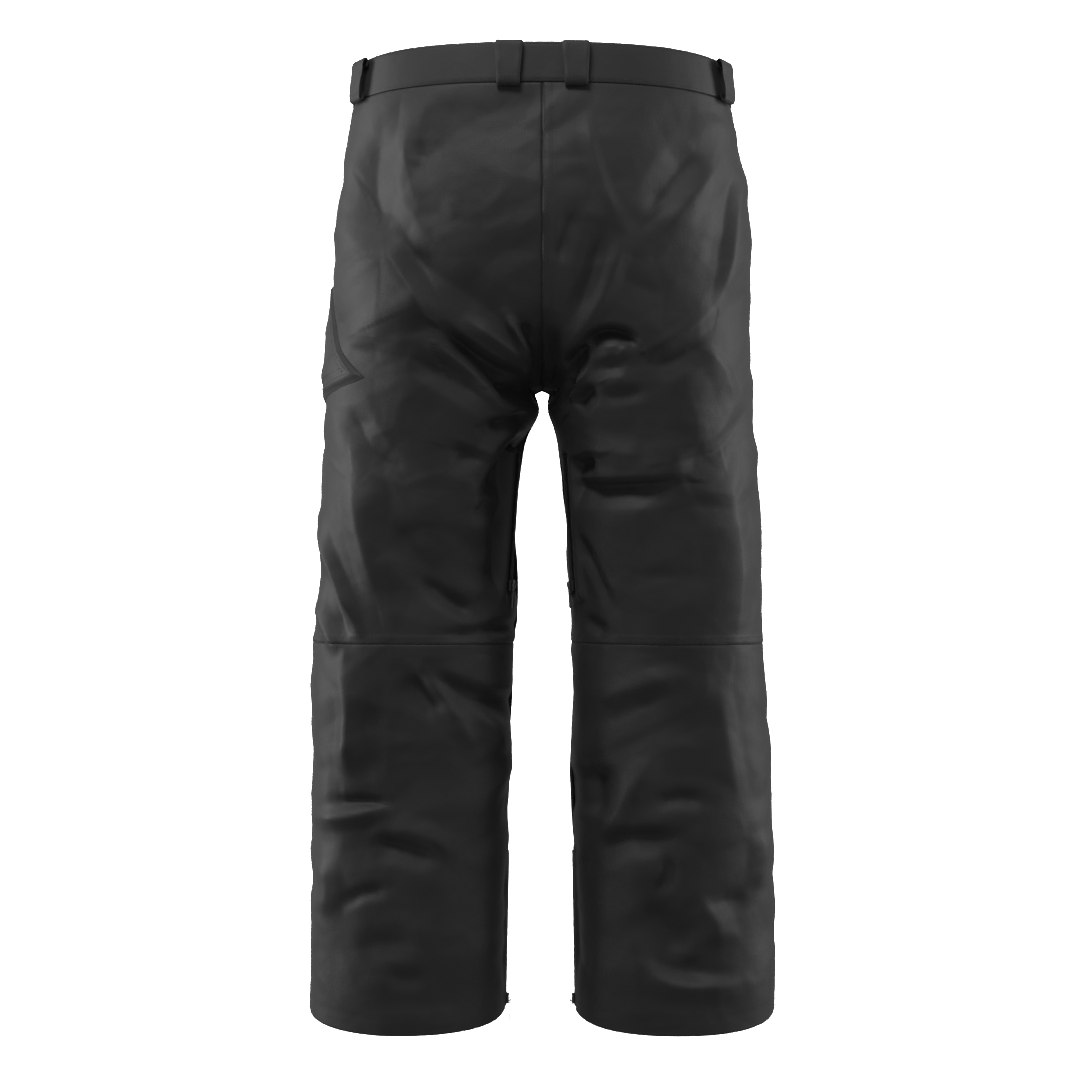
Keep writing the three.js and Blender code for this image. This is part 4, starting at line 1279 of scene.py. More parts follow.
@dataclass
class LegPanels:
    """The eight shell panels, their linings and their seams."""

    tailor: Tailor
    thickness: float = 1.8
    fine: float = 1.2
    coarse: float = 3.6
    hem_turn: float = 17.0
    rows: tuple[float, float] = (1.9, 7.6)  # mm from a seam to its two rows of stitches
    hem_span: tuple[float, float] = (0.012, 0.988)  # places between which hems and knees are sewn

    def build(self) -> None:
        """Builds, dresses and places every panel and its stitching."""
        for side in Side:
            for part in Part:
                self.panel(side, part, upper=True)
                self.panel(side, part, upper=False)
            self.stitches(side)
            self.hem_facing(side)

    def panel(self, side: Side, part: Part, upper: bool) -> None:
        """Builds one panel.

        Args:
            side: which leg.
            part: back or front.
            upper: True above the knee seam.
        """
        cloth = self.tailor.cloth
        shape = cloth.shape
        word, first, last = part.value
        level = "upper" if upper else "lower"
        ends = (shape.waistband, shape.knee) if upper else (shape.knee, shape.outseam)
        quarter = shape.girth(400 if upper else 850) / 2
        step = 2.7 if upper and part is Part.BACK else self.coarse
        us = graded(first * 2 * quarter, last * 2 * quarter, self.fine, step, 11) / (2 * quarter)
        us = self.beside_zips(us, first, last, upper)
        depths = graded(*ends, self.fine, self.coarse, 11)
        if upper and part is Part.BACK:
            depths = np.concatenate([depths[depths < 280], np.arange(280, 500, 2.0), depths[depths > 500]])
        grid_u, grid_d = np.meshgrid(us, depths)
        points = cloth.surface(side, grid_u, grid_d)
        if not upper:
            points[-1] -= cloth.shape.facing(us, depths[-1]) * [side.value, 1, 1] * 0.8
        uvs = np.stack([grid_u * 2 * quarter * side.value, grid_d], -1).reshape(-1, 2)
        faces = grid_faces(len(us), len(depths), side is Side.LEFT)
        piece = mesh_piece(f"{side.word}_{word}_{level}_shell", points.reshape(-1, 3), faces, uvs)
        thicken(piece, self.thickness, self.tailor.wardrobe.get("shell"), self.tailor.wardrobe.get("lining"))
        nodes = [f"{side.word}_{word}_{level}"]
        if upper and part is Part.BACK:
            nodes.append(f"{side.word}_knee_pleat")
        self.tailor.bend(piece, side, "shell", *nodes)
        smooth = shape.outline(grid_u, grid_d)

    @staticmethod
    def beside_zips(us: Array, first: float, last: float, upper: bool) -> Array:
        """Adds columns where a zip's channel crosses a panel.

        Args:
            us: the panel's columns.
            first: its first place.
            last: its last place.
            upper: True above the knee seam.

        Returns:
            The columns, in order.
        """
        for low, high, step in ((0.044, 0.076, 0.0021), (0.568, 0.682, 0.0034)):
            if upper and first < low and high < last:
                us = np.concatenate([us[us < low], np.arange(low, high, step), us[us > high]])
        return us

    def stitches(self, side: Side) -> None:
        """Sews one leg's seams.

        Args:
            side: which leg.
        """
        sewing, shape = self.tailor.sewing, self.tailor.cloth.shape
        lines = []
        down = np.arange(shape.waistband + 2, shape.outseam - 1, 4.0)
        for gap in self.rows:
            lines.append(sewing.line(side, 0.5 - gap / LEG_ROUND, down))
        seat = np.arange(shape.waistband + 2, shape.crotch - 14, 4.0)
        if side is Side.RIGHT:
            for gap in self.rows:
                us = [shape.place_at(gap, d, True) for d in seat]
                lines.append(sewing.line(side, np.array(us), seat))
        around = np.linspace(*self.hem_span, 150)
        for gap in self.rows:
            lines.append(sewing.line(side, around, np.full(150, shape.knee - gap)))
        lines.append(sewing.line(side, around, np.full(150, shape.outseam - self.hem_turn)))
        piece = sewing.sew(f"{side.word}_leg_stitching", lines)
        self.tailor.bend(piece, side, "shell")

    def hem_facing(self, side: Side) -> None:
        """Turns the shell cloth up inside the hem.

        Args:
            side: which leg.
        """
        cloth = self.tailor.cloth
        us = np.linspace(*self.hem_span, 150)
        depths = np.linspace(cloth.shape.outseam - self.hem_turn - 3, cloth.shape.outseam - 1, 7)
        grid_u, grid_d = np.meshgrid(us, depths)
        points = cloth.surface(side, grid_u, grid_d, -self.thickness - 0.5)
        uvs = np.stack([grid_u * 570 * side.value, grid_d], -1).reshape(-1, 2)
        faces = grid_faces(len(us), len(depths), side is Side.LEFT)
        piece = mesh_piece(f"{side.word}_hem_turning", points.reshape(-1, 3), faces, uvs)
        shell = self.tailor.wardrobe.get("shell")
        thicken(piece, 0.7, shell, shell)
        self.tailor.ride(piece, Body.lower_leg(side).value, "shell")


# ---- Hardware frames and shapes -----------------------------------------------------------


@dataclass(frozen=True)
class Fastening:
    """The frame of a straight fastening: its origin at the top, y up it and z outwards."""

    origin: Array
    side: Array
    up: Array
    out: Array
    length: float

    @staticmethod
    def between(top: Array, bottom: Array, outward: Array) -> "Fastening":
        """Sets a frame between two points of the cloth.

        Args:
            top: upper end, in millimetres.
            bottom: lower end.
            outward: roughly away from the cloth.

        Returns:
            The frame.
        """
        up = (top - bottom) / np.linalg.norm(top - bottom)
        out = outward - up * (outward @ up)
        out = out / np.linalg.norm(out)
        return Fastening(top, np.cross(up, out), up, out, float(np.linalg.norm(top - bottom)))

    def place(self, local: Array) -> Array:
        """Moves points from this frame to the CAD frame."""
        return self.origin + np.asarray(local, float) @ np.stack([self.side, self.up, self.out])

    def local(self, points: Array) -> Array:
        """Moves points from the CAD frame to this one."""
        return (np.asarray(points, float) - self.origin) @ np.stack([self.side, self.up, self.out]).T

    def shifted(self, y: float, z: float = 0.0) -> "Fastening":
        """The same frame moved along itself.

        Args:
            y: millimetres up it.
            z: millimetres outwards.

        Returns:
            The moved frame.
        """
        origin = self.origin + self.up * y + self.out * z
        return Fastening(origin, self.side, self.up, self.out, self.length)


def rounded_section(width: float, height: float, corner: float, steps: int = 3, crown: float = 0.0) -> Array:
    """A rectangle with rounded corners, as a closed line.

    Args:
        width: its first size.
        height: its second size.
        corner: the corners' radius.
        steps: spans round each corner.
        crown: how much the middle of both long faces swells.

    Returns:
        N by 2 points, in order round it.
    """
    points = []
    for turn in range(4):
        cx = (width / 2 - corner) * (1 if turn in (0, 3) else -1)
        cy = (height / 2 - corner) * (1 if turn in (0, 1) else -1)
        for k in range(steps + 1):
            angle = (turn + k / steps) * math.pi / 2
            points.append((cx + corner * math.cos(angle), cy + corner * math.sin(angle)))
        if crown and turn in (0, 2):
            edge = width / 2 - corner
            sign = 1 if turn == 0 else -1
            for x in np.linspace(edge, -edge, 7)[1:-1] * sign:
                points.append((x, sign * (height / 2 + crown * (1 - (x / edge) ** 2))))
    return np.array(points)


def smooth_path(points: Sequence[Sequence[float]], step: float) -> Array:
    """A smooth line through some points.

    Args:
        points: what it passes through.
        step: spacing of the result.

    Returns:
        N by 3 points.
    """
    p = np.array(points, float)
    ends = np.vstack([2 * p[0] - p[1], p, 2 * p[-1] - p[-2]])
    line = []
    for k in range(len(p) - 1):
        a, b, c, d = ends[k : k + 4]
        count = max(2, int(np.linalg.norm(c - b) / step) + 1)
        for t in np.linspace(0, 1, count, endpoint=False):
            line.append(
                0.5 * (
                    2 * b + (c - a) * t + (2 * a - 5 * b + 4 * c - d) * t**2 + (
                        3 * b - a - 3 * c + d
                    ) * t**3
                )
            )
    return np.array([*line, p[-1]])


@dataclass
class Blank:
    """Points and faces gathered for one piece, in millimetres."""

    points: list = field(default_factory=list)
    faces: list = field(default_factory=list)
    uvs: list = field(default_factory=list)

    def rings(self, rings: Array, closed: bool = False, uvs: Array | None = None) -> "Blank":
        """Joins rings of points into a closed tube with flat ends.

        Args:
            rings: R by S by 3.
            closed: True where the last ring meets the first, so that it has no ends.
            uvs: R by S by 2, or None to measure along and round the tube.

        Returns:
            This blank.
        """
        count, around = rings.shape[:2]
        first = len(self.points)
        if uvs is None:
            along = np.concatenate([[0], np.cumsum(np.linalg.norm(np.diff(rings.mean(1), axis=0), axis=1))])
            loop = np.linalg.norm(np.diff(rings[0], axis=0), axis=1)
            across = np.concatenate([[0], np.cumsum(loop)])
            uvs = np.stack(np.broadcast_arrays(across[None, :], along[:, None]), -1)
        self.points += rings.reshape(-1, 3).tolist()
        self.uvs += np.asarray(uvs).reshape(-1, 2).tolist()
        for r in range(count if closed else count - 1):
            for s in range(around):
                a, b = r * around + s, r * around + (s + 1) % around
                c, d = (b + around) % (count * around), (a + around) % (count * around)
                self.faces.append([first + a, first + b, first + c, first + d])
        if not closed:
            self.faces.append([first + s for s in range(around)])
            self.faces.append([first + (count - 1) * around + s for s in range(around)])
        return self

    def swept(self, path: Array, section: Array, across: Sequence[float], closed: bool = False) -> "Blank":
        """Sweeps a section along a flat path.

        Args:
            path: N by 3.
            section: S by 2; its first number lies along across.
            across: the direction at right angles to the path's plane.
            closed: True for a path that meets itself.

        Returns:
            This blank.
        """
        tangent = np.gradient(path, axis=0) if not closed else np.roll(path, -1, 0) - np.roll(path, 1, 0)
        tangent /= np.linalg.norm(tangent, axis=1, keepdims=True)
        wide = np.asarray(across, float)
        normal = np.cross(tangent, wide)
        rings = path[:, None] + section[None, :, :1] * wide + section[None, :, 1:] * normal[:, None]
        return self.rings(rings, closed)

    def turned(self, profile: Sequence[tuple[float, float]], steps: int = 28) -> "Blank":
        """Turns a profile round the local y axis.

        Args:
            profile: radius and height pairs; the ends lie on the axis or near it.
            steps: spans round it.

        Returns:
            This blank.
        """
        angle = np.linspace(0, 2 * math.pi, steps, endpoint=False)
        ring = np.stack([np.cos(angle), np.zeros(steps), np.sin(angle)], -1)
        return self.rings(np.array([ring * max(r, 0.01) + [0, y, 0] for r, y in profile]))

    def piece(
        self, name: str, material: bpy.types.Material, frame: Fastening | None = None
    ) -> bpy.types.Object:
        """Makes the piece, with its faces outwards.

        Args:
            name: its name.
            material: its material.
            frame: the frame that the points are in, or None for the CAD frame.

        Returns:
            The piece.
        """
        points = np.array(self.points)
        made = mesh_piece(name, frame.place(points) if frame else points, self.faces, np.array(self.uvs))
        made.data.materials.append(material)
        work = bmesh.new()
        work.from_mesh(made.data)
        bmesh.ops.recalc_face_normals(work, faces=work.faces)
        work.to_mesh(made.data)
        work.free()
        sharpen(made)
        return made


def sharpen(piece: bpy.types.Object, angle: float = 50.0) -> None:
    """Marks edges that turn by more than an angle as sharp.

    Args:
        piece: the piece.
        angle: degrees.
    """
    work = bmesh.new()
    work.from_mesh(piece.data)
    for edge in work.edges:
        edge.smooth = len(edge.link_faces) == 2 and edge.calc_face_angle() < math.radians(angle)
    work.to_mesh(piece.data)
    work.free()


# ---- Zips ---------------------------------------------------------------------------------


@dataclass(frozen=True)
class ZipPlan:
    """Where one zip lies and which body its tape is on."""

    name: str
    body: str
    frame: Fastening
    closes_up: bool
    sides: tuple[Side, ...]
    on_pocket: bool = False

    def channel(self, points: Array, flank: float = 1.1) -> tuple[Array, Array]:
        """The channel that the cloth leaves for the zip.

        Args:
            points: smooth points of the cloth, in the CAD frame.
            flank: height of its lips over the tape's middle.

        Returns:
            How much each point belongs to the channel, and how far it then moves outwards.
        """
        p = self.frame.local(points)
        away, y = np.abs(p[..., 0]), p[..., 1]
        near = smoothstep(away, 20, 9) * (np.abs(p[..., 2]) < 40)
        runs_out = self.name.endswith("_hem")
        inside = smoothstep(y, 9, 2) * (
            1 if runs_out else smoothstep(y, -self.frame.length - 9, -self.frame.length - 2)
        )
        slot = smoothstep(away, 5.9, 4.9) * smoothstep(y, 1.4, 0.4)
        if not runs_out:
            slot = slot * smoothstep(y, -self.frame.length - 1.4, -self.frame.length - 0.4)
        target = flank * (1 - slot) - 0.95 * slot
        return near * inside, target - p[..., 2]


def zip_plans(shape: GarmentShape) -> list[ZipPlan]:
    """Lays out the eight zips as the CAD part does.

    Args:
        shape: the garment's surface.

    Returns:
        The zips.
    """
    cloth = 3.0

    def on_skin(
        top: tuple[float, float], bottom: tuple[float, float], offset: float = -cloth / 2
    ) -> Fastening:
        """A frame between two points of the surface.

        Args:
            top: place and depth of its origin.
            bottom: place and depth of its foot.
            offset: millimetres outwards.

        Returns:
            The frame.
        """
        high, low = (shape.skin(*end, offset) for end in (top, bottom))
        middle = [(a + b) / 2 for a, b in zip(top, bottom)]
        return Fastening.between(high, low, shape.skin(*middle, 1) - shape.skin(*middle, 0))

    start = shape.waistband + 3
    ends = [shape.skin(1, d, -cloth / 2) * [0, 1, 1] for d in (start, start + 150)]
    both = (Side.LEFT, Side.RIGHT)
    plans = [ZipPlan("fly", "pants", Fastening.between(*ends, np.array([0, 1.0, 0])), True, both)]
    pocket = on_skin((-0.555, 270), (-0.555, 376), 4.1)
    plans.append(ZipPlan("thigh_pocket", "pants", pocket, True, (Side.LEFT,), True))
    for side in Side:
        s = side.value
        hand = on_skin((s * 0.665, 68), (s * 0.585, 218))
        plans.append(ZipPlan(f"{side.word}_hand_pocket", "pants", hand, True, (side,)))
        vent = on_skin((s * 0.06, 436), (s * 0.06, 586))
        plans.append(ZipPlan(f"{side.word}_vent", "pants", vent, False, (side,)))
        high, low = (shape.outline(0, d) + [cloth / 2, 0, 0] for d in (shape.outseam - 172, shape.outseam))
        hem = Fastening.between(high * [s, 1, 1], low * [s, 1, 1], np.array([-float(s), 0, 0]))
        plans.append(ZipPlan(f"{side.word}_hem", Body.lower_leg(side).value, hem, False, (side,)))
    return plans


@dataclass
class CoilZips:
    """Every zip: its tape, its coil, its end stops, its slider and its pull."""

    tailor: Tailor
    plans: list[ZipPlan]
    tape: float = 5.0
    chain: float = 2.5
    pitch: float = 1.35
    rest: float = 9.0
    pivot: tuple[float, float] = (1.25, 5.9)

    def build(self) -> None:
        """Builds and places every zip."""
        self.teeth = StitchTree("zip_coil", self.tailor.wardrobe.get("coil"), 8, 5)
        for plan in self.plans:
            self.tapes(plan)
            at = -self.rest if plan.closes_up else self.rest - plan.frame.length
            self.slider(plan, plan.frame.shifted(at))
            self.pull(plan, plan.frame.shifted(at + self.pivot[0], self.pivot[1]))

    def tapes(self, plan: ZipPlan) -> None:
        """Builds a zip's tape with its stops, and its coil.

        Args:
            plan: the zip.
        """
        length = plan.frame.length
        blank = Blank()
        ys = np.arange(0, -length - 0.01, -length / max(8, round(length / 6)))
        section = rounded_section(self.tape * 2, 0.8, 0.35, 2)
        blank.rings(
            np.stack([np.stack([section[:, 0], np.full(len(section), y), section[:, 1]], -1) for y in ys])
        )
        for y in (-1.6, -length + 1.6):
            stop = rounded_section(self.chain * 2 + 0.8, 2.4, 0.5, 2)
            spots = np.array([y - 1.0, y - 0.8, y + 0.8, y + 1.0])
            swell = np.array([0.8, 1.0, 1.0, 0.8])
            rings = [
                np.stack([stop[:, 0] * k, np.full(len(stop), v), stop[:, 1] * k + 1.3], -1)
                for v, k in zip(spots, swell)
            ]
            blank.rings(np.array(rings))
        tape = blank.piece(f"{plan.name}_zip_tape", self.tailor.wardrobe.get("tape"), plan.frame)
        self.tailor.ride(tape, plan.body, "tape", f"{plan.name}_zip")
        lines = []
        for sign in (-1, 1):
            ys = np.arange(-3.4 - (sign > 0) * self.pitch / 2, -length + 3.2, -self.pitch)
            local = np.stack([np.full(len(ys), sign * 1.15), ys, np.full(len(ys), 1.55)], -1)
            lines.append((plan.frame.place(local), np.tile(plan.frame.out, (len(ys), 1))))
        coil = self.teeth.lay(f"{plan.name}_zip_coil", lines, self.pitch, (1.15, 3.0, 2.1))
        self.tailor.ride(coil, plan.body, "tape")

    def slider(self, plan: ZipPlan, frame: Fastening) -> None:
        """Builds a slider over the chain.

        Args:
            plan: the zip.
            frame: the slider's place.
        """
        blank = Blank()
        spots = np.array([-6, -5.7, -4.8, -3, 0, 3, 4.8, 5.7, 6])
        half = np.array([3.4, 3.9, 4.2, 4.3, 4.6, 4.9, 5.0, 4.6, 4.0])
        section = rounded_section(2, 1.4, 0.45, 3, 0.12)
        plate = [
            np.stack([section[:, 0] * w, np.full(len(section), y), section[:, 1] + 4.2], -1)
            for y, w in zip(spots, half)
        ]
        blank.rings(np.array(plate))
        wall = rounded_section(1.2, 3.6, 0.45, 3)
        for sign in (-1, 1):
            flange = [
                np.stack([sign * (w - 0.65) + wall[:, 0], np.full(len(wall), y), wall[:, 1] + 2.75], -1)
                for y, w in zip(spots[1:-1], np.maximum(half[1:-1], 4.15))
            ]
            blank.rings(np.array(flange))
        arch = smooth_path(
            [
                (0, -2.9, 4.6), (0, -2.6, 6.6), (0, -0.9, 7.6), (0, 1.4, 7.7), (0, 3.4, 7.5), (0, 4.4, 6.4),
                (0, 4.6, 4.6),
            ], 0.7
        )
        blank.swept(arch, rounded_section(2.4, 1.1, 0.4, 3), (1, 0, 0))
        made = blank.piece(f"{plan.name}_zip_slider", self.tailor.wardrobe.get("enamel"), frame)
        self.tailor.ride(made, f"{plan.name}_slider", "metal", f"{plan.name}_slider")

    def pull(self, plan: ZipPlan, frame: Fastening) -> None:
        """Builds a pull: an eye on the slider's bar and a flat grip with ridges.

        Args:
            plan: the zip.
            frame: the pull's place, its origin on the bar.
        """
        blank = Blank()
        eye = [
            (2.75, -7.6), (2.8, -1.4), (2.2, -0.1), (0, 0), (-2.2, -0.1), (-2.8, -1.4), (-2.75, -7.6),
            (0, -8.6),
        ]
        ring = smooth_path([(x, y, 0) for x, y in [*eye, eye[0]]], 0.8)[:-1]
        blank.swept(ring, rounded_section(1.3, 1.3, 0.45, 2), (0, 0, 1), closed=True)
        ys = [
            -8.2, -8.5, -9.2, -11, -12.6, -13.2, -13.8, -14.8, -15.4, -16, -17, -17.6, -18.2, -19.2, -19.8,
            -20.4, -22, -24, -25.2, -25.8, -26,
        ]
        wide = [
            2.2, 2.9, 3.3, 3.4, 3.4, 3.4, 3.4, 3.4, 3.4, 3.4, 3.4, 3.4, 3.4, 3.4, 3.4, 3.4, 3.5, 3.6, 3.3,
            2.6, 1.8,
        ]
        ridge = [-13.2, -15.4, -17.6, -19.8]
        rings = []
        for y, w in zip(ys, wide):
            dip = 0.42 if min(abs(y - r) for r in ridge) > 0.3 else 0.66
            if y > -9 or y < -24.5:
                dip = 0.6
            half = [(-w, 0), (-w + 0.25, 0.5), (-w + 0.7, 0.68), (-w + 1.15, dip), (0, dip)]
            upper = half + [(-x, z) for x, z in half[-2::-1]]
            loop = upper + [(x, -z) for x, z in upper[-2:0:-1]]
            rings.append([(x, y, z) for x, z in loop])
        blank.rings(np.array(rings))
        made = blank.piece(f"{plan.name}_zip_pull", self.tailor.wardrobe.get("enamel"), frame)
        self.tailor.ride(made, f"{plan.name}_pull", "metal", f"{plan.name}_pull")


# ---- Waist --------------------------------------------------------------------------------


@dataclass
class Waist:
    """The waistband, its facing, the tab with its snaps, and the belt loops."""

    tailor: Tailor
    height: float = 44.0
    tab_left: float = 40.0
    tab_right: float = 42.0
    snaps: tuple[float, ...] = (2.0, 28.0)
    loops: dict[str, float] = field(default_factory=lambda: {"back": 0.037, "side": 0.385, "front": 0.77})

    def build(self) -> None:
        """Builds and places every piece of the waist."""
        self.band()
        self.facing()
        self.tab("waist_tab", self.tab_left, self.tab_right, 0.4, -3, Body.WAIST_TAB.value)
        self.tab("waist_underlap", self.tab_left - 10, self.tab_right + 6, -7, -9.5, Body.PANTS.value)
        for k, x in enumerate(self.snaps):
            self.snap(f"waist_snap_{k + 1}", x)
        for side in Side:
            for word, place in self.loops.items():
                self.loop(side, word, place)

    def point(self, place: Array, depth: Array, offset: Array) -> Array:
        """Points near the band.

        Args:
            place: places from -1 to 1 round the waist.
            depth: millimetres below the waist.
            offset: millimetres outwards.

        Returns:
            The points, in the CAD frame.
        """
        shape, noise = self.tailor.cloth.shape, self.tailor.cloth.noise
        place, depth, offset = np.broadcast_arrays(np.asarray(place, float), depth, offset)
        p = shape.outline(np.abs(place), depth) + shape.facing(np.abs(place), depth) * offset[..., None]
        p[..., 0] *= np.where(place >= 0, 1, -1)
        flat = p.reshape(-1, 3)
        wave = 1.1 * noise.at(flat + 400, (70, 70, 60)) + 0.5 * noise.at(flat + 900, (19, 19, 26))
        away = p * [1, 1, 0] / np.linalg.norm(p[..., :2], axis=-1, keepdims=True)
        return p + away * wave.reshape(place.shape)[..., None]

    def swept_band(
        self, name: str, left: float, right: float, section: Sequence[tuple[float, float]], finish: str
    ) -> bpy.types.Object:
        """Sweeps a section round the waist.

        Args:
            name: the piece's name.
            left: place where it starts, negative for the left.
            right: place where it ends.
            section: depth and offset pairs, in order round it.
            finish: its finish.

        Returns:
            The piece.
        """
        places = np.linspace(left, right, 300)
        depths, offsets = np.array(section).T
        rings = self.point(places[:, None], depths[None], offsets[None])
        round_it = np.concatenate([[0], np.cumsum(np.linalg.norm(np.diff(rings[:, 0], axis=0), axis=1))])
        sections = np.array([(d if o > -1.6 else 100 - d) for d, o in section])
        uvs = np.stack(np.broadcast_arrays(round_it[:, None], sections[None, :]), -1)
        return Blank().rings(rings, uvs=uvs).piece(name, self.tailor.wardrobe.get(finish))

    def ends(self, extra: float = 0.0) -> tuple[float, float]:
        """The places where the band starts and ends, beside the tab.

        Args:
            extra: millimetres by which it stops short on the right.

        Returns:
            The left place and the right one.
        """
        shape = self.tailor.cloth.shape
        middle = self.height / 2
        return (
            -shape.place_at(self.tab_left, middle, False) + 0.0016,
            shape.place_at(self.tab_right + extra, middle, False),
        )

    def band(self) -> None:
        """Builds the waistband and its stitching."""
        left, right = self.ends()
        outer = [
            (44.6, -1.5), (44.3, 0.1), (42.6, 0.7), (38, 0.75), (30, 0.9), (22, 1.0), (13, 0.9), (7, 0.75),
            (3.2, 0.55), (1.1, -0.1), (0.2, -1.4),
        ]
        inner = [(1.1, -2.6), (4, -3), (13, -3), (22, -3), (32, -3), (42, -3), (44.2, -2.6)]
        piece = self.swept_band("waistband_shell", left, right - 0.0016, [*outer, *inner], "shell")
        self.tailor.ride(piece, Body.PANTS.value, "shell", "waistband")
        self.girth()
        places = np.linspace(left + 0.004, right - 0.006, 500)
        lines = []
        for depth in (3.4, 41.2):
            line = self.point(places, depth, 0.85)
            lines.append((line, line * [1, 1, 0] / 120))
        self.tailor.stitch("waistband_stitching", lines, Body.PANTS.value, "shell")

    def girth(self) -> float:
        """The waistband's length in metres."""
        return 2 * self.tailor.cloth.shape.girth(22) * MM - (self.tab_left + self.tab_right) * MM

    def facing(self) -> None:
        """Builds the soft facing inside the waistband."""
        left, right = self.ends(10)
        outer = [(44, -3.5), (30, -3.4), (16, -3.4), (4, -3.4), (2.2, -3.9)]
        inner = [(2.2, -4.9), (4, -5.3), (16, -5.4), (30, -5.4), (43, -5.4), (44, -5)]
        piece = self.swept_band("waistband_facing", left, right, [*outer, *inner], "facing")
        self.tailor.ride(piece, Body.PANTS.value, "facing", "waist_facing")
        self.girth()

    def front_point(self, x: float, depth: float, offset: float) -> Array:
        """A point across the centre front, where the two halves of the surface meet.

        Args:
            x: millimetres right of the middle.
            depth: millimetres below the waist.
            offset: millimetres outwards.

        Returns:
            The point, in the CAD frame.
        """
        shape = self.tailor.cloth.shape
        u = shape.place_at(abs(x), depth, False)
        normal = shape.facing(u, depth)
        p = shape.outline(u, depth) + normal * offset
        p[0] = math.copysign(abs(x) + normal[0] * offset, x)
        return p

    def tab(self, name: str, left: float, right: float, outside: float, inside: float, body: str) -> None:
        """Builds a padded strip across the centre front, with a border of stitches when it rides on the waist
        tab.

        Args:
            name: its CAD node.
            left: how far it reaches left of the middle.
            right: how far it reaches right.
            outside: offset of its face.
            inside: offset of its back.
            body: the body that it rides on.
        """
        xs = np.linspace(-left, right, 60)
        edge = 1.2
        rings = []
        for x in xs:
            inset = 5 * max(0, 1 - (right - x) / 5) ** 2  # the free corners are rounded
            high, low = 1 + inset, self.height - 1 - inset
            depths = np.linspace(low - edge, high + edge, 9)
            loop = [(low, (outside + inside) / 2)] + [(d, outside) for d in depths] + [
                (high, (outside + inside) / 2)
            ]
            loop += [(d, inside) for d in depths[::-1]]
            rings.append([self.front_point(x, d, o) for d, o in loop])
        piece = Blank().rings(np.array(rings)).piece(f"{name}_shell", self.tailor.wardrobe.get("shell"))
        self.tailor.ride(piece, body, "shell", name)
        if body != Body.WAIST_TAB.value:
            return
        path = [
            (-left + 2.5, 3.6), (right - 6, 3.6), (right - 3.4, 7), (right - 3.4, 37), (right - 6, 40.4),
            (-left + 2.5, 40.4),
        ]
        spots = smooth_path([(x, d, 0) for x, d in path], 2.0)
        line = np.array([self.front_point(x, d, outside + 0.2) for x, d, _ in spots])
        outward = np.tile([0.0, 1.0, 0.0], (len(line), 1))
        self.tailor.stitch(f"{name}_stitching", [(line, outward)], body, "shell")

    def snap(self, name: str, x: float) -> None:
        """Builds one snap: a cap on the tab and a stud on the underlap.

        Args:
            name: the start of its CAD nodes' names.
            x: millimetres right of the centre front.
        """
        middle = self.height / 2
        centre = self.front_point(x, middle, -1.5)
        outward = self.front_point(x, middle, 1) - self.front_point(x, middle, 0)
        outward /= np.linalg.norm(outward)
        up = np.array([0, 0, 1.0]) - outward * outward[2]
        up /= np.linalg.norm(up)
        frame = Fastening(centre, np.cross(outward, up), outward, up, 0)
        cap = [
            (0, -2.2), (3.3, -2.2), (3.4, -3.9), (4.6, -3.9), (5.6, -3.5), (5.9, -2.6), (5.8, -1.9),
            (2.2, -1.9), (2.2, 1.9),
        ]
        cap += [
            (6.6, 1.9), (7.3, 2.1), (7.5, 2.5), (7.3, 2.9), (6.6, 3.05), (6.1, 2.95), (5.7, 3.1),
            (4.2, 3.45), (2, 3.65), (0, 3.7),
        ]
        metal = self.tailor.wardrobe.get("gunmetal")
        piece = Blank().turned(cap).piece(f"{name}_cap_metal", metal, frame)
        self.tailor.ride(piece, Body.WAIST_TAB.value, "metal", f"{name}_cap")
        stud = [
            (0, -5.2), (5.2, -5.2), (5.5, -4.9), (5.2, -4.5), (2.6, -4.4), (2.4, -3.9), (2.9, -3.4),
            (2.8, -3.0), (2.2, -2.8), (0, -2.8),
        ]
        piece = Blank().turned(stud).piece(f"{name}_stud_metal", metal, frame)
        self.tailor.ride(piece, Body.PANTS.value, "metal", f"{name}_stud")

    def loop(self, side: Side, word: str, place: float) -> None:
        """Builds a belt loop: a strap folded under at both ends and tacked down.

        Args:
            side: which side of the wearer.
            word: back, side or front.
            place: where it stands round the half waist.
        """
        shape = self.tailor.cloth.shape
        place = side.value * place
        top, bottom = shape.skin(place, 1, 0.9), shape.skin(place, self.height + 5, 0.9)
        frame = Fastening.between(top, bottom, shape.skin(place, 22, 1) - shape.skin(place, 22, 0))
        long = frame.length
        line = [(-9, 1.6), (-3, 1.4), (-0.9, 2.8), (-0.9, 5.2), (-3.6, 6.7), (-9, 7.4), (-long / 2, 7.6)]
        line += [
            (-long + 9, 7.3), (-long + 3.4, 6.6), (-long + 0.8, 5.0), (-long + 0.9, 2.6), (-long + 3, 1.4),
            (-long + 9, 1.6),
        ]
        path = smooth_path([(0, y, z) for y, z in line], 1.6)
        across = np.linspace(-1, 1, 15)
        upper = [(x, 1.0 - 0.75 * abs(x) ** 10 + 0.28 * (abs(abs(x) - 0.8) < 0.12)) for x in across]
        lower = [(x, -1.0 + 0.75 * abs(x) ** 10) for x in across[::-1]]
        section = np.array(upper + lower)
        blank = Blank()
        tangent = np.gradient(path, axis=0)
        tangent /= np.linalg.norm(tangent, axis=1, keepdims=True)
        normal = np.cross(tangent, [1.0, 0, 0])
        rings = []
        for k, (p, n) in enumerate(zip(path, normal)):
            half = 14.6 - 2.2 * smoothstep(-p[1], 4, long - 4)
            wave = 0.35 * math.sin(k * 0.37 + place * 40)
            rings.append([p + np.array([x * half, 0, 0]) + n * (z + wave * x * x) for x, z in section])
        blank.rings(np.array(rings))
        name = f"{side.word}_{word}_loop"
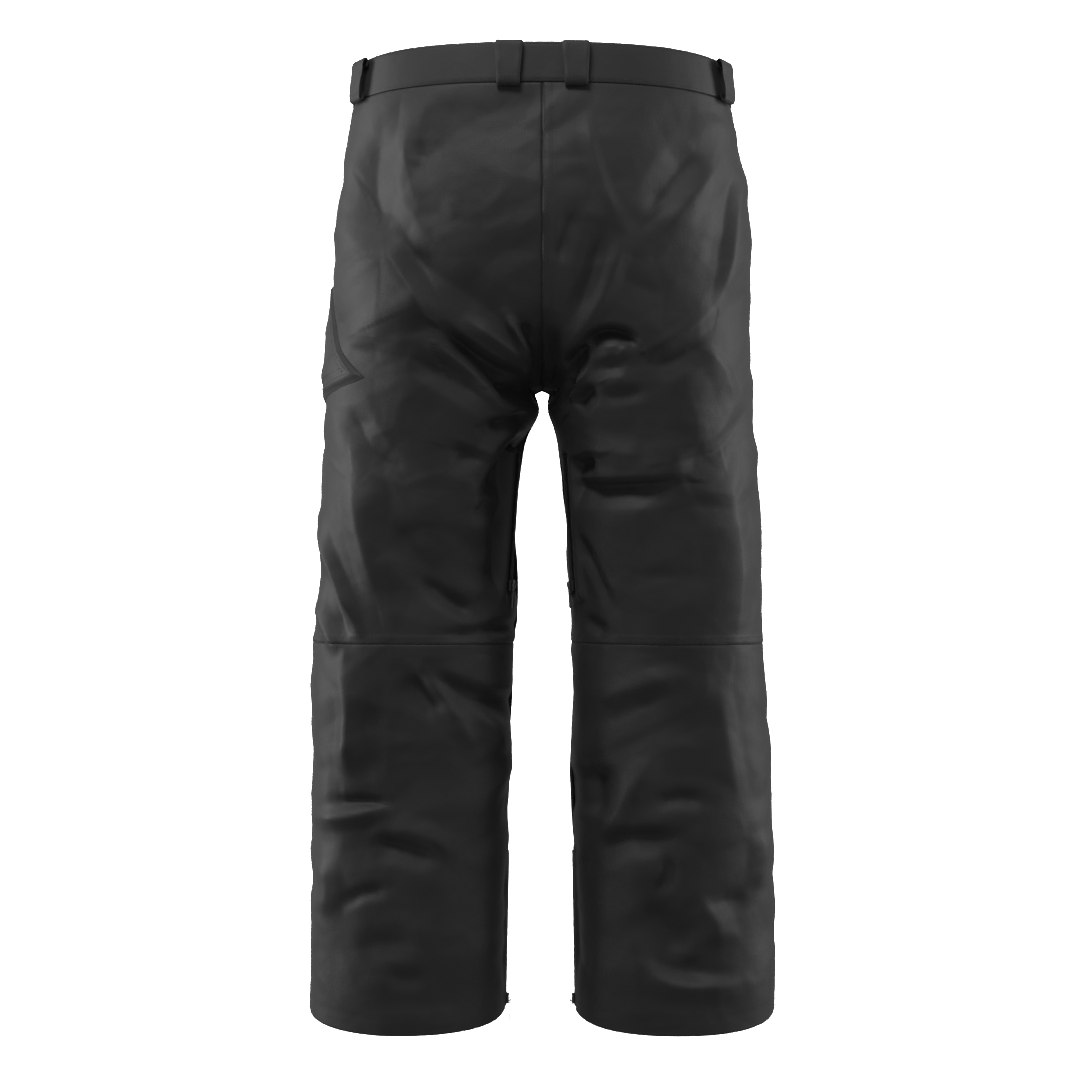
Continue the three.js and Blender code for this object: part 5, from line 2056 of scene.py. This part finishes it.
        piece = blank.piece(f"{name}_strap", self.tailor.wardrobe.get("shell"), frame)
        self.tailor.ride(piece, Body.PANTS.value, "shell", name)
        lines = []
        for y, half in ((-5.5, 11.6), (-long + 6.0, 10.2)):
            for row in (-0.9, 0.9):
                xs = np.linspace(-half, half, 16)
                depth = [float(np.interp(-(y + row), -path[:, 1][6:-6], path[:, 2][6:-6])) + 1.15] * len(xs)
                local = np.stack([xs, np.full(len(xs), y + row), depth], -1)
                lines.append((frame.place(local), np.tile(frame.out, (len(xs), 1))))
        for sign in (-1, 1):
            ys = np.linspace(-7, -long + 8, 24)
            local = np.stack([sign * (11.4 - 1.6 * (-ys / long)), ys, np.full(len(ys), 8.75)], -1)
            lines.append((frame.place(local), np.tile(frame.out, (len(ys), 1))))
        self.tailor.stitch(f"{name}_tacks", lines, Body.PANTS.value, "shell")


# ---- Patches and inner pieces -------------------------------------------------------------


@dataclass
class Patches:
    """The thigh pocket, the pocket bags and the scuff guards."""

    tailor: Tailor
    plans: list[ZipPlan]
    corners: tuple[tuple[float, float], ...] = ((0.615, 250), (0.475, 250), (0.345, 356), (0.615, 402))
    rise: float = 3.2

    def build(self) -> None:
        """Builds and places every patch."""
        self.pocket()
        for side in Side:
            self.bag(side)
            self.guard(side)

    def spread(self, a: Array, b: Array) -> tuple[Array, Array]:
        """The place and depth of points of the thigh pocket.

        Args:
            a: shares across it, from the front.
            b: shares down it.

        Returns:
            The places and the depths.
        """
        (front, high), (rear, _), (low_rear, rear_foot), (_, front_foot) = self.corners
        place = front + (rear + (low_rear - rear) * b - front) * a
        foot = front_foot + (rear_foot - front_foot) * a
        return place, high + (foot - high) * b

    def pocket(self) -> None:
        """Builds the thigh pocket as a crowned patch with a welt round it."""
        cloth = self.tailor.cloth
        a = graded(0, 1, 0.008, 0.02, 0.06)
        b = graded(0, 1, 0.009, 0.024, 0.06)
        grid_a, grid_b = np.meshgrid(a, b)
        place, depth = self.spread(grid_a, grid_b)
        edge = np.minimum(np.minimum(grid_a, 1 - grid_a) * 190, np.minimum(grid_b, 1 - grid_b) * 125)
        lift = self.rise * smoothstep(edge, -1.0, 7) + 0.7 * bell(edge - 8.5, 3) - 0.8 * bell(edge - 13, 1.6)
        base = cloth.shape.outline(place, depth)
        spot = base * [-1, 1, 1]
        rumple = cloth.noise.at(spot.reshape(-1, 3) + 55, (38, 50, 44)).reshape(lift.shape)
        lift += 1.7 * smoothstep(edge, 8, 25) * rumple
        plan = next(p for p in self.plans if p.on_pocket)
        near, target = plan.channel(spot, 1.2)
        outer = cloth.relief(Side.LEFT, place, depth) + 0.5 + lift
        outer = outer * (1 - near) + target * near
        inner = np.minimum(outer - 1.3, cloth.relief(Side.LEFT, place, depth) + 0.35 + 0 * outer)
        inner = np.minimum(inner, outer - 1.0)
        normal = cloth.shape.facing(place, depth)
        rows = [(base + normal * h[..., None]) * [-1, 1, 1] for h in (outer, inner)]
        count = place.size
        points = np.concatenate([r.reshape(-1, 3) for r in rows])
        columns, lines = len(a), len(b)
        faces = grid_faces(columns, lines, False)
        faces += [tuple(count + k for k in f[::-1]) for f in grid_faces(columns, lines, False)]
        rim = [j * columns for j in range(lines)] + [(lines - 1) * columns + i for i in range(1, columns)]
        rim += [j * columns + columns - 1 for j in range(lines - 2, -1, -1)] + list(range(columns - 2, 0, -1))
        faces += [(p, q, count + q, count + p) for p, q in zip(rim, rim[1:] + rim[:1])]
        uvs = np.tile(np.stack([grid_a * 150, grid_b * 120], -1).reshape(-1, 2), (2, 1))
        blank = Blank(points.tolist(), faces, uvs.tolist())
        piece = blank.piece("thigh_pocket_shell", self.tailor.wardrobe.get("shell"))
        self.tailor.ride(piece, Body.PANTS.value, "shell", "thigh_pocket")
        lines = []
        for inset in (0.055, 0.1):
            t = np.linspace(inset, 1 - inset, 60)
            loop = [(x, inset * 1.4) for x in t] + [(1 - inset, y) for y in t]
            loop += [(x, 1 - inset * 1.4) for x in t[::-1]] + [(inset, y) for y in t[::-1]]
            pa, pb = np.array(loop).T
            place_l, depth_l = self.spread(pa, pb)
            height = np.array([self.height_at(a, b, outer, x, y) for x, y in zip(pa, pb)]) + 0.15
            p = cloth.shape.outline(place_l, depth_l)
            n = cloth.shape.facing(place_l, depth_l)
            lines.append(((p + n * height[:, None]) * [-1, 1, 1], n * [-1, 1, 1]))
        self.tailor.stitch("thigh_pocket_stitching", lines, Body.PANTS.value, "shell")

    @staticmethod
    def height_at(a: Array, b: Array, height: Array, x: float, y: float) -> float:
        """The pocket's height at one point, from its grid.

        Args:
            a: the grid's shares across it.
            b: the grid's shares down it.
            height: heights at the grid's points, b by a.
            x: the point's share across.
            y: the point's share down.

        Returns:
            Millimetres outwards.
        """
        row = int(np.clip(np.searchsorted(b, y), 1, len(b) - 1))
        t = (y - b[row - 1]) / (b[row] - b[row - 1])
        return float(np.interp(x, a, height[row - 1]) * (1 - t) + np.interp(x, a, height[row]) * t)

    def patch(
        self,
        name: str,
        side: Side,
        us: Array,
        depths: Array,
        offset: Callable[[Array, Array], Array],
        thickness: float,
        finish: str,
    ) -> bpy.types.Object:
        """Builds a thin piece that follows the cloth.

        Args:
            name: its name.
            side: which side of the wearer.
            us: places across it.
            depths: depths down it.
            offset: takes the grids of both and gives millimetres off the cloth.
            thickness: millimetres, inwards.
            finish: its finish.

        Returns:
            The piece.
        """
        grid_u, grid_d = np.meshgrid(us, depths)
        points = self.tailor.cloth.surface(side, grid_u, grid_d, offset(grid_u, grid_d))
        uvs = np.stack([grid_u * HALF_ROUND, grid_d], -1).reshape(-1, 2)
        faces = grid_faces(len(us), len(depths), side is Side.LEFT)
        piece = mesh_piece(name, points.reshape(-1, 3), faces, uvs)
        made = self.tailor.wardrobe.get(finish)
        thicken(piece, thickness, made, made)
        return piece

    def bag(self, side: Side) -> None:
        """Builds a hand pocket's bag, inside the front.

        Args:
            side: which side of the wearer.
        """
        noise = self.tailor.cloth.noise

        def offset(u: Array, depth: Array) -> Array:
            """Hangs the bag loosely inside the cloth.

            Args:
                u: places across it.
                depth: depths down it.

            Returns:
                Millimetres off the cloth.
            """
            spot = np.stack([u * HALF_ROUND, depth, np.full_like(u, side.value * 50.0)], -1).reshape(-1, 3)
            return -5.4 - 1.2 * noise.at(spot, (34, 40, 30)).reshape(u.shape)

        piece = self.patch(
            f"{side.word}_pocket_bag_tricot", side, np.linspace(0.7, 0.83, 34), np.linspace(54, 262, 70),
            offset, 1.2, "lining",
        )
        self.tailor.ride(piece, Body.PANTS.value, "pocketing", f"{side.word}_pocket_bag")

    def guard(self, side: Side) -> None:
        """Builds the scuff guard inside one ankle, with its border of stitches.

        Args:
            side: which leg.
        """
        top, bottom = 890, 1038
        ankle = 560  # millimetres that places 0 to 1 span round the ankle
        us, depths = np.linspace(0.8, 0.965, 60), np.linspace(top, bottom, 76)

        def offset(u: Array, depth: Array) -> Array:
            """Lifts the patch by its own thickness, with its edges turned under.

            Args:
                u: places across it.
                depth: depths down it.

            Returns:
                Millimetres off the cloth.
            """
            across = np.minimum(u - us[0], us[-1] - u) * ankle
            edge = np.minimum(across, np.minimum(depth - top, bottom - depth))
            return 0.7 + 0.75 * smoothstep(edge, -0.5, 2.2)

        piece = self.patch(f"{side.word}_scuff_guard_patch", side, us, depths, offset, 0.9, "guard")
        self.tailor.ride(piece, Body.lower_leg(side).value, "guard", f"{side.word}_scuff_guard")
        sewing = self.tailor.sewing
        lines = []
        for inset in (3.0, 7.5):
            u0, u1 = us[0] + inset / ankle, us[-1] - inset / ankle
            d0, d1 = top + inset, bottom - inset
            lines.append(sewing.line(side, np.linspace(u0, u1, 40), np.full(40, d0), 1.6))
            lines.append(sewing.line(side, np.full(60, u0), np.linspace(d0, d1, 60), 1.6))
            lines.append(sewing.line(side, np.full(60, u1), np.linspace(d0, d1, 60), 1.6))
        name = f"{side.word}_scuff_guard_stitching"
        self.tailor.stitch(name, lines, Body.lower_leg(side).value, "guard")


@dataclass
class Gaiters:
    """The boot gaiters inside the hems, with their elastic cuffs and lace hooks."""

    tailor: Tailor
    top: float = 835.0
    bottom: float = 996.0
    high: float = 0.94
    low: float = 0.74
    cuff: float = 30.0

    def build(self) -> None:
        """Builds and places both gaiters."""
        for side in Side:
            self.sleeve(side)
            self.elastic(side)
            self.hook(side)

    def in_leg(self, side: Side, u: Array, depth: Array, scale: Array, offset: Array) -> Array:
        """Points of a leg's outline shrunk about its own middle.

        Args:
            side: which leg.
            u: place round the leg.
            depth: millimetres below the waist.
            scale: how much it is shrunk.
            offset: millimetres outwards.

        Returns:
            The points, in the CAD frame.
        """
        shape = self.tailor.cloth.shape
        point = shape.outline(u, depth)
        middle = (shape.outline(0.5, depth) + shape.outline(0.0, depth)) / 2
        flat = shape.facing(u, depth) * [1, 1, 0]
        flat /= np.linalg.norm(flat, axis=-1, keepdims=True)
        point[..., :2] = middle[..., :2] + (point[..., :2] - middle[..., :2]) * np.asarray(scale)[..., None]
        return (point + flat * np.asarray(offset)[..., None]) * [side.value, 1, 1]

    @staticmethod
    def tube(outer: Array, inner: Array) -> Blank:
        """Joins an outer and an inner surface into a closed tube.

        Args:
            outer: R by S by 3.
            inner: the same.

        Returns:
            The blank.
        """
        section = np.concatenate([outer, inner[::-1]])
        return Blank().rings(np.swapaxes(section, 0, 1), closed=True)

    def sleeve(self, side: Side) -> None:
        """Builds a gaiter, gathered into its cuff.

        Args:
            side: which leg.
        """
        cloth = self.tailor.cloth
        us = np.linspace(0, 1, 221)[:-1]
        rows = np.linspace(0, 1, 46)
        grid_u, grid_b = np.meshgrid(us, rows)
        depth = self.top + (self.bottom - self.top) * grid_b
        scale = self.high + (self.low - self.high) * grid_b
        turn = grid_u * 2 * math.pi
        spot = np.stack([np.cos(turn) * 90, np.sin(turn) * 90, depth], -1).reshape(-1, 3)
        drift = cloth.noise.at(spot + side.value * 200, (60, 60, 70)).reshape(depth.shape)
        pleats = np.sin(grid_u * 2 * math.pi * 30 + drift * 5)
        gather = 0.5 + 2.0 * smoothstep(grid_b, 0.3, 1.0) * smoothstep(grid_b, 1.06, 0.93)
        offset = -3.6 + pleats * gather + 3.0 * drift
        relief = cloth.relief(side, grid_u, depth) * smoothstep(grid_b, 0.7, 0.0)
        offset = offset + np.minimum(relief, 0) - 1.2 * smoothstep(grid_b, 0.9, 0.1)
        outer = self.in_leg(side, grid_u, depth, scale, offset)
        inner = self.in_leg(side, grid_u, depth, scale, offset - 0.8)
        piece = self.tube(outer, inner).piece(
            f"{side.word}_gaiter_sleeve", self.tailor.wardrobe.get("gaiter")
        )
        self.tailor.ride(piece, Body.lower_leg(side).value, "gaiter", f"{side.word}_gaiter")

    def elastic(self, side: Side) -> None:
        """Builds the ribbed elastic cuff.

        Args:
            side: which leg.
        """
        us = np.linspace(0, 1, 181)[:-1]
        rows = np.linspace(0, 1, 14)
        grid_u, grid_b = np.meshgrid(us, rows)
        depth = self.bottom + 0.4 + self.cuff * grid_b
        ripple = 0.45 * np.sin(grid_u * 2 * math.pi * 45)
        round_edge = 0.8 * (np.abs(grid_b * 2 - 1) ** 8)
        scale = np.full_like(depth, self.low)
        outer = self.in_leg(side, grid_u, depth, scale, -2.6 + ripple - round_edge)
        inner = self.in_leg(side, grid_u, depth, scale, -4.6 + ripple + round_edge)
        piece = self.tube(outer, inner).piece(
            f"{side.word}_gaiter_elastic", self.tailor.wardrobe.get("elastic")
        )
        self.tailor.ride(piece, Body.lower_leg(side).value, "elastic", f"{side.word}_gaiter_cuff")

    def hook(self, side: Side) -> None:
        """Builds the lace hook on the front of the cuff.

        Args:
            side: which leg.
        """
        start = self.bottom + 0.4
        front, scale, off = np.array(0.75), np.array(self.low), np.array(-1.8)
        ends = [self.in_leg(side, front, np.array(start + d), scale, off) for d in (0, 20)]
        frame = Fastening.between(*ends, np.array([0, 1.0, 0]))
        line = [
            (-0.5, 0.9), (-6, 0.9), (-13, 0.9), (-18, 1.0), (-19.4, 2.6), (-19, 4.8), (-17, 5.9),
            (-13.5, 5.9), (-9.6, 5.6),
        ]
        path = smooth_path([(0, y, z) for y, z in line], 0.9)
        blank = Blank().swept(path, rounded_section(8, 1.6, 0.7, 3), (1, 0, 0))
        piece = blank.piece(f"{side.word}_lace_hook_metal", self.tailor.wardrobe.get("gunmetal"), frame)
        self.tailor.ride(piece, Body.lower_leg(side).value, "metal", f"{side.word}_lace_hook")


# ---- Studio -------------------------------------------------------------------------------


@dataclass
class Studio:
    """A pale sweep, soft lights on both sides and the camera."""

    distance: float = 3.0
    lens: float = 90.9
    aim: tuple[float, float] = (-0.0015, -0.528)
    floor: float = -1.42
    roll: float = -0.12  # degrees
    bend: tuple[float, float] = (1.4, 0.9)  # where the sweep starts to rise, and its radius
    half_width: float = 3.5

    def build(self) -> None:
        """Builds the camera, the sweep, the lights and the world."""
        self.camera()
        self.sweep()
        self.light("left_softbox", (-2.1, 0.0, -0.1), (0.8, 1.9), 43)
        self.light("right_softbox", (2.1, 0.0, -0.1), (0.8, 1.9), 35)
        self.light("top_softbox", (-0.5, -1.3, 1.7), (0.8, 0.6), 30)
        self.light("backdrop_wash", (0, 1.1, 1.5), (4.5, 0.6), 380, aim=(0, 2.3, -0.5), spread=110)
        world = bpy.data.worlds.new("studio")
        bpy.context.scene.world = world
        world.use_nodes = True
        back = world.node_tree.nodes["Background"]
        back.inputs["Color"].default_value = (1, 1, 1, 1)
        back.inputs["Strength"].default_value = 0.27
        bpy.context.scene.view_settings.view_transform = "Standard"

    def camera(self) -> None:
        """Places the camera level, straight behind the wearer."""
        lens = bpy.data.cameras.new("camera")
        lens.lens = self.lens
        lens.sensor_width = 36
        camera = bpy.data.objects.new("camera", lens)
        camera.location = (self.aim[0], -self.distance, self.aim[1])
        camera.rotation_euler = (math.pi / 2, math.radians(self.roll), 0)
        bpy.context.scene.collection.objects.link(camera)
        bpy.context.scene.camera = camera

    def sweep(self) -> None:
        """Builds the floor and backdrop as one curved sheet of paper."""
        start, radius = self.bend
        profile = [(-3.4, self.floor), (start, self.floor)]
        for k in range(1, 13):
            angle = k / 12 * math.pi / 2
            profile.append((start + radius * math.sin(angle), self.floor + radius * (1 - math.cos(angle))))
        profile.append((2.3, 2.2))
        edges = (-self.half_width, self.half_width)
        points = [(x * 1000, y * 1000, z * 1000) for y, z in profile for x in edges]
        faces = [(2 * k, 2 * k + 1, 2 * k + 3, 2 * k + 2) for k in range(len(profile) - 1)]
        paper = mesh_piece("paper_sweep", np.array(points), faces)
        made = bpy.data.materials.new("matte_studio_paper")
        made.use_nodes = True
        shader = made.node_tree.nodes["Principled BSDF"]
        shader.inputs["Base Color"].default_value = linear("#f4f4f4")
        shader.inputs["Roughness"].default_value = 0.9
        paper.data.materials.append(made)
        paper.visible_glossy = paper.visible_diffuse = False

    def light(
        self,
        name: str,
        place: tuple[float, float, float],
        size: tuple[float, float],
        power: float,
        aim: tuple[float, float, float] = (0, 0, -0.5),
        spread: float = 180,
    ) -> None:
        """Adds one soft rectangular light.

        Args:
            name: its name.
            place: where it stands, in metres.
            size: its width and height in metres.
            power: watts.
            aim: what it points at.
            spread: degrees across the beam.
        """
        lamp = bpy.data.lights.new(name, "AREA")
        lamp.shape = "RECTANGLE"
        lamp.size, lamp.size_y = size
        lamp.energy = power
        lamp.spread = math.radians(spread)
        made = bpy.data.objects.new(name, lamp)
        made.location = place
        made.rotation_euler = (Vector(aim) - Vector(place)).to_track_quat("-Z", "Y").to_euler()
        bpy.context.scene.collection.objects.link(made)


def main() -> None:
    """Builds the pants and the studio, in order."""
    logging.basicConfig(level=logging.INFO, format="%(name)s %(message)s")
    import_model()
    Studio().build()
    wardrobe = Wardrobe()
    shape = GarmentShape()
    plans = zip_plans(shape)
    cloth = Cloth(shape, zips=plans)
    tailor = Tailor(cloth, wardrobe, Sewing(cloth, wardrobe))
    LegPanels(tailor).build()
    Waist(tailor).build()
    CoilZips(tailor, plans).build()
    Patches(tailor, plans).build()
    Gaiters(tailor).build()


if __name__ == "__main__":
    main()
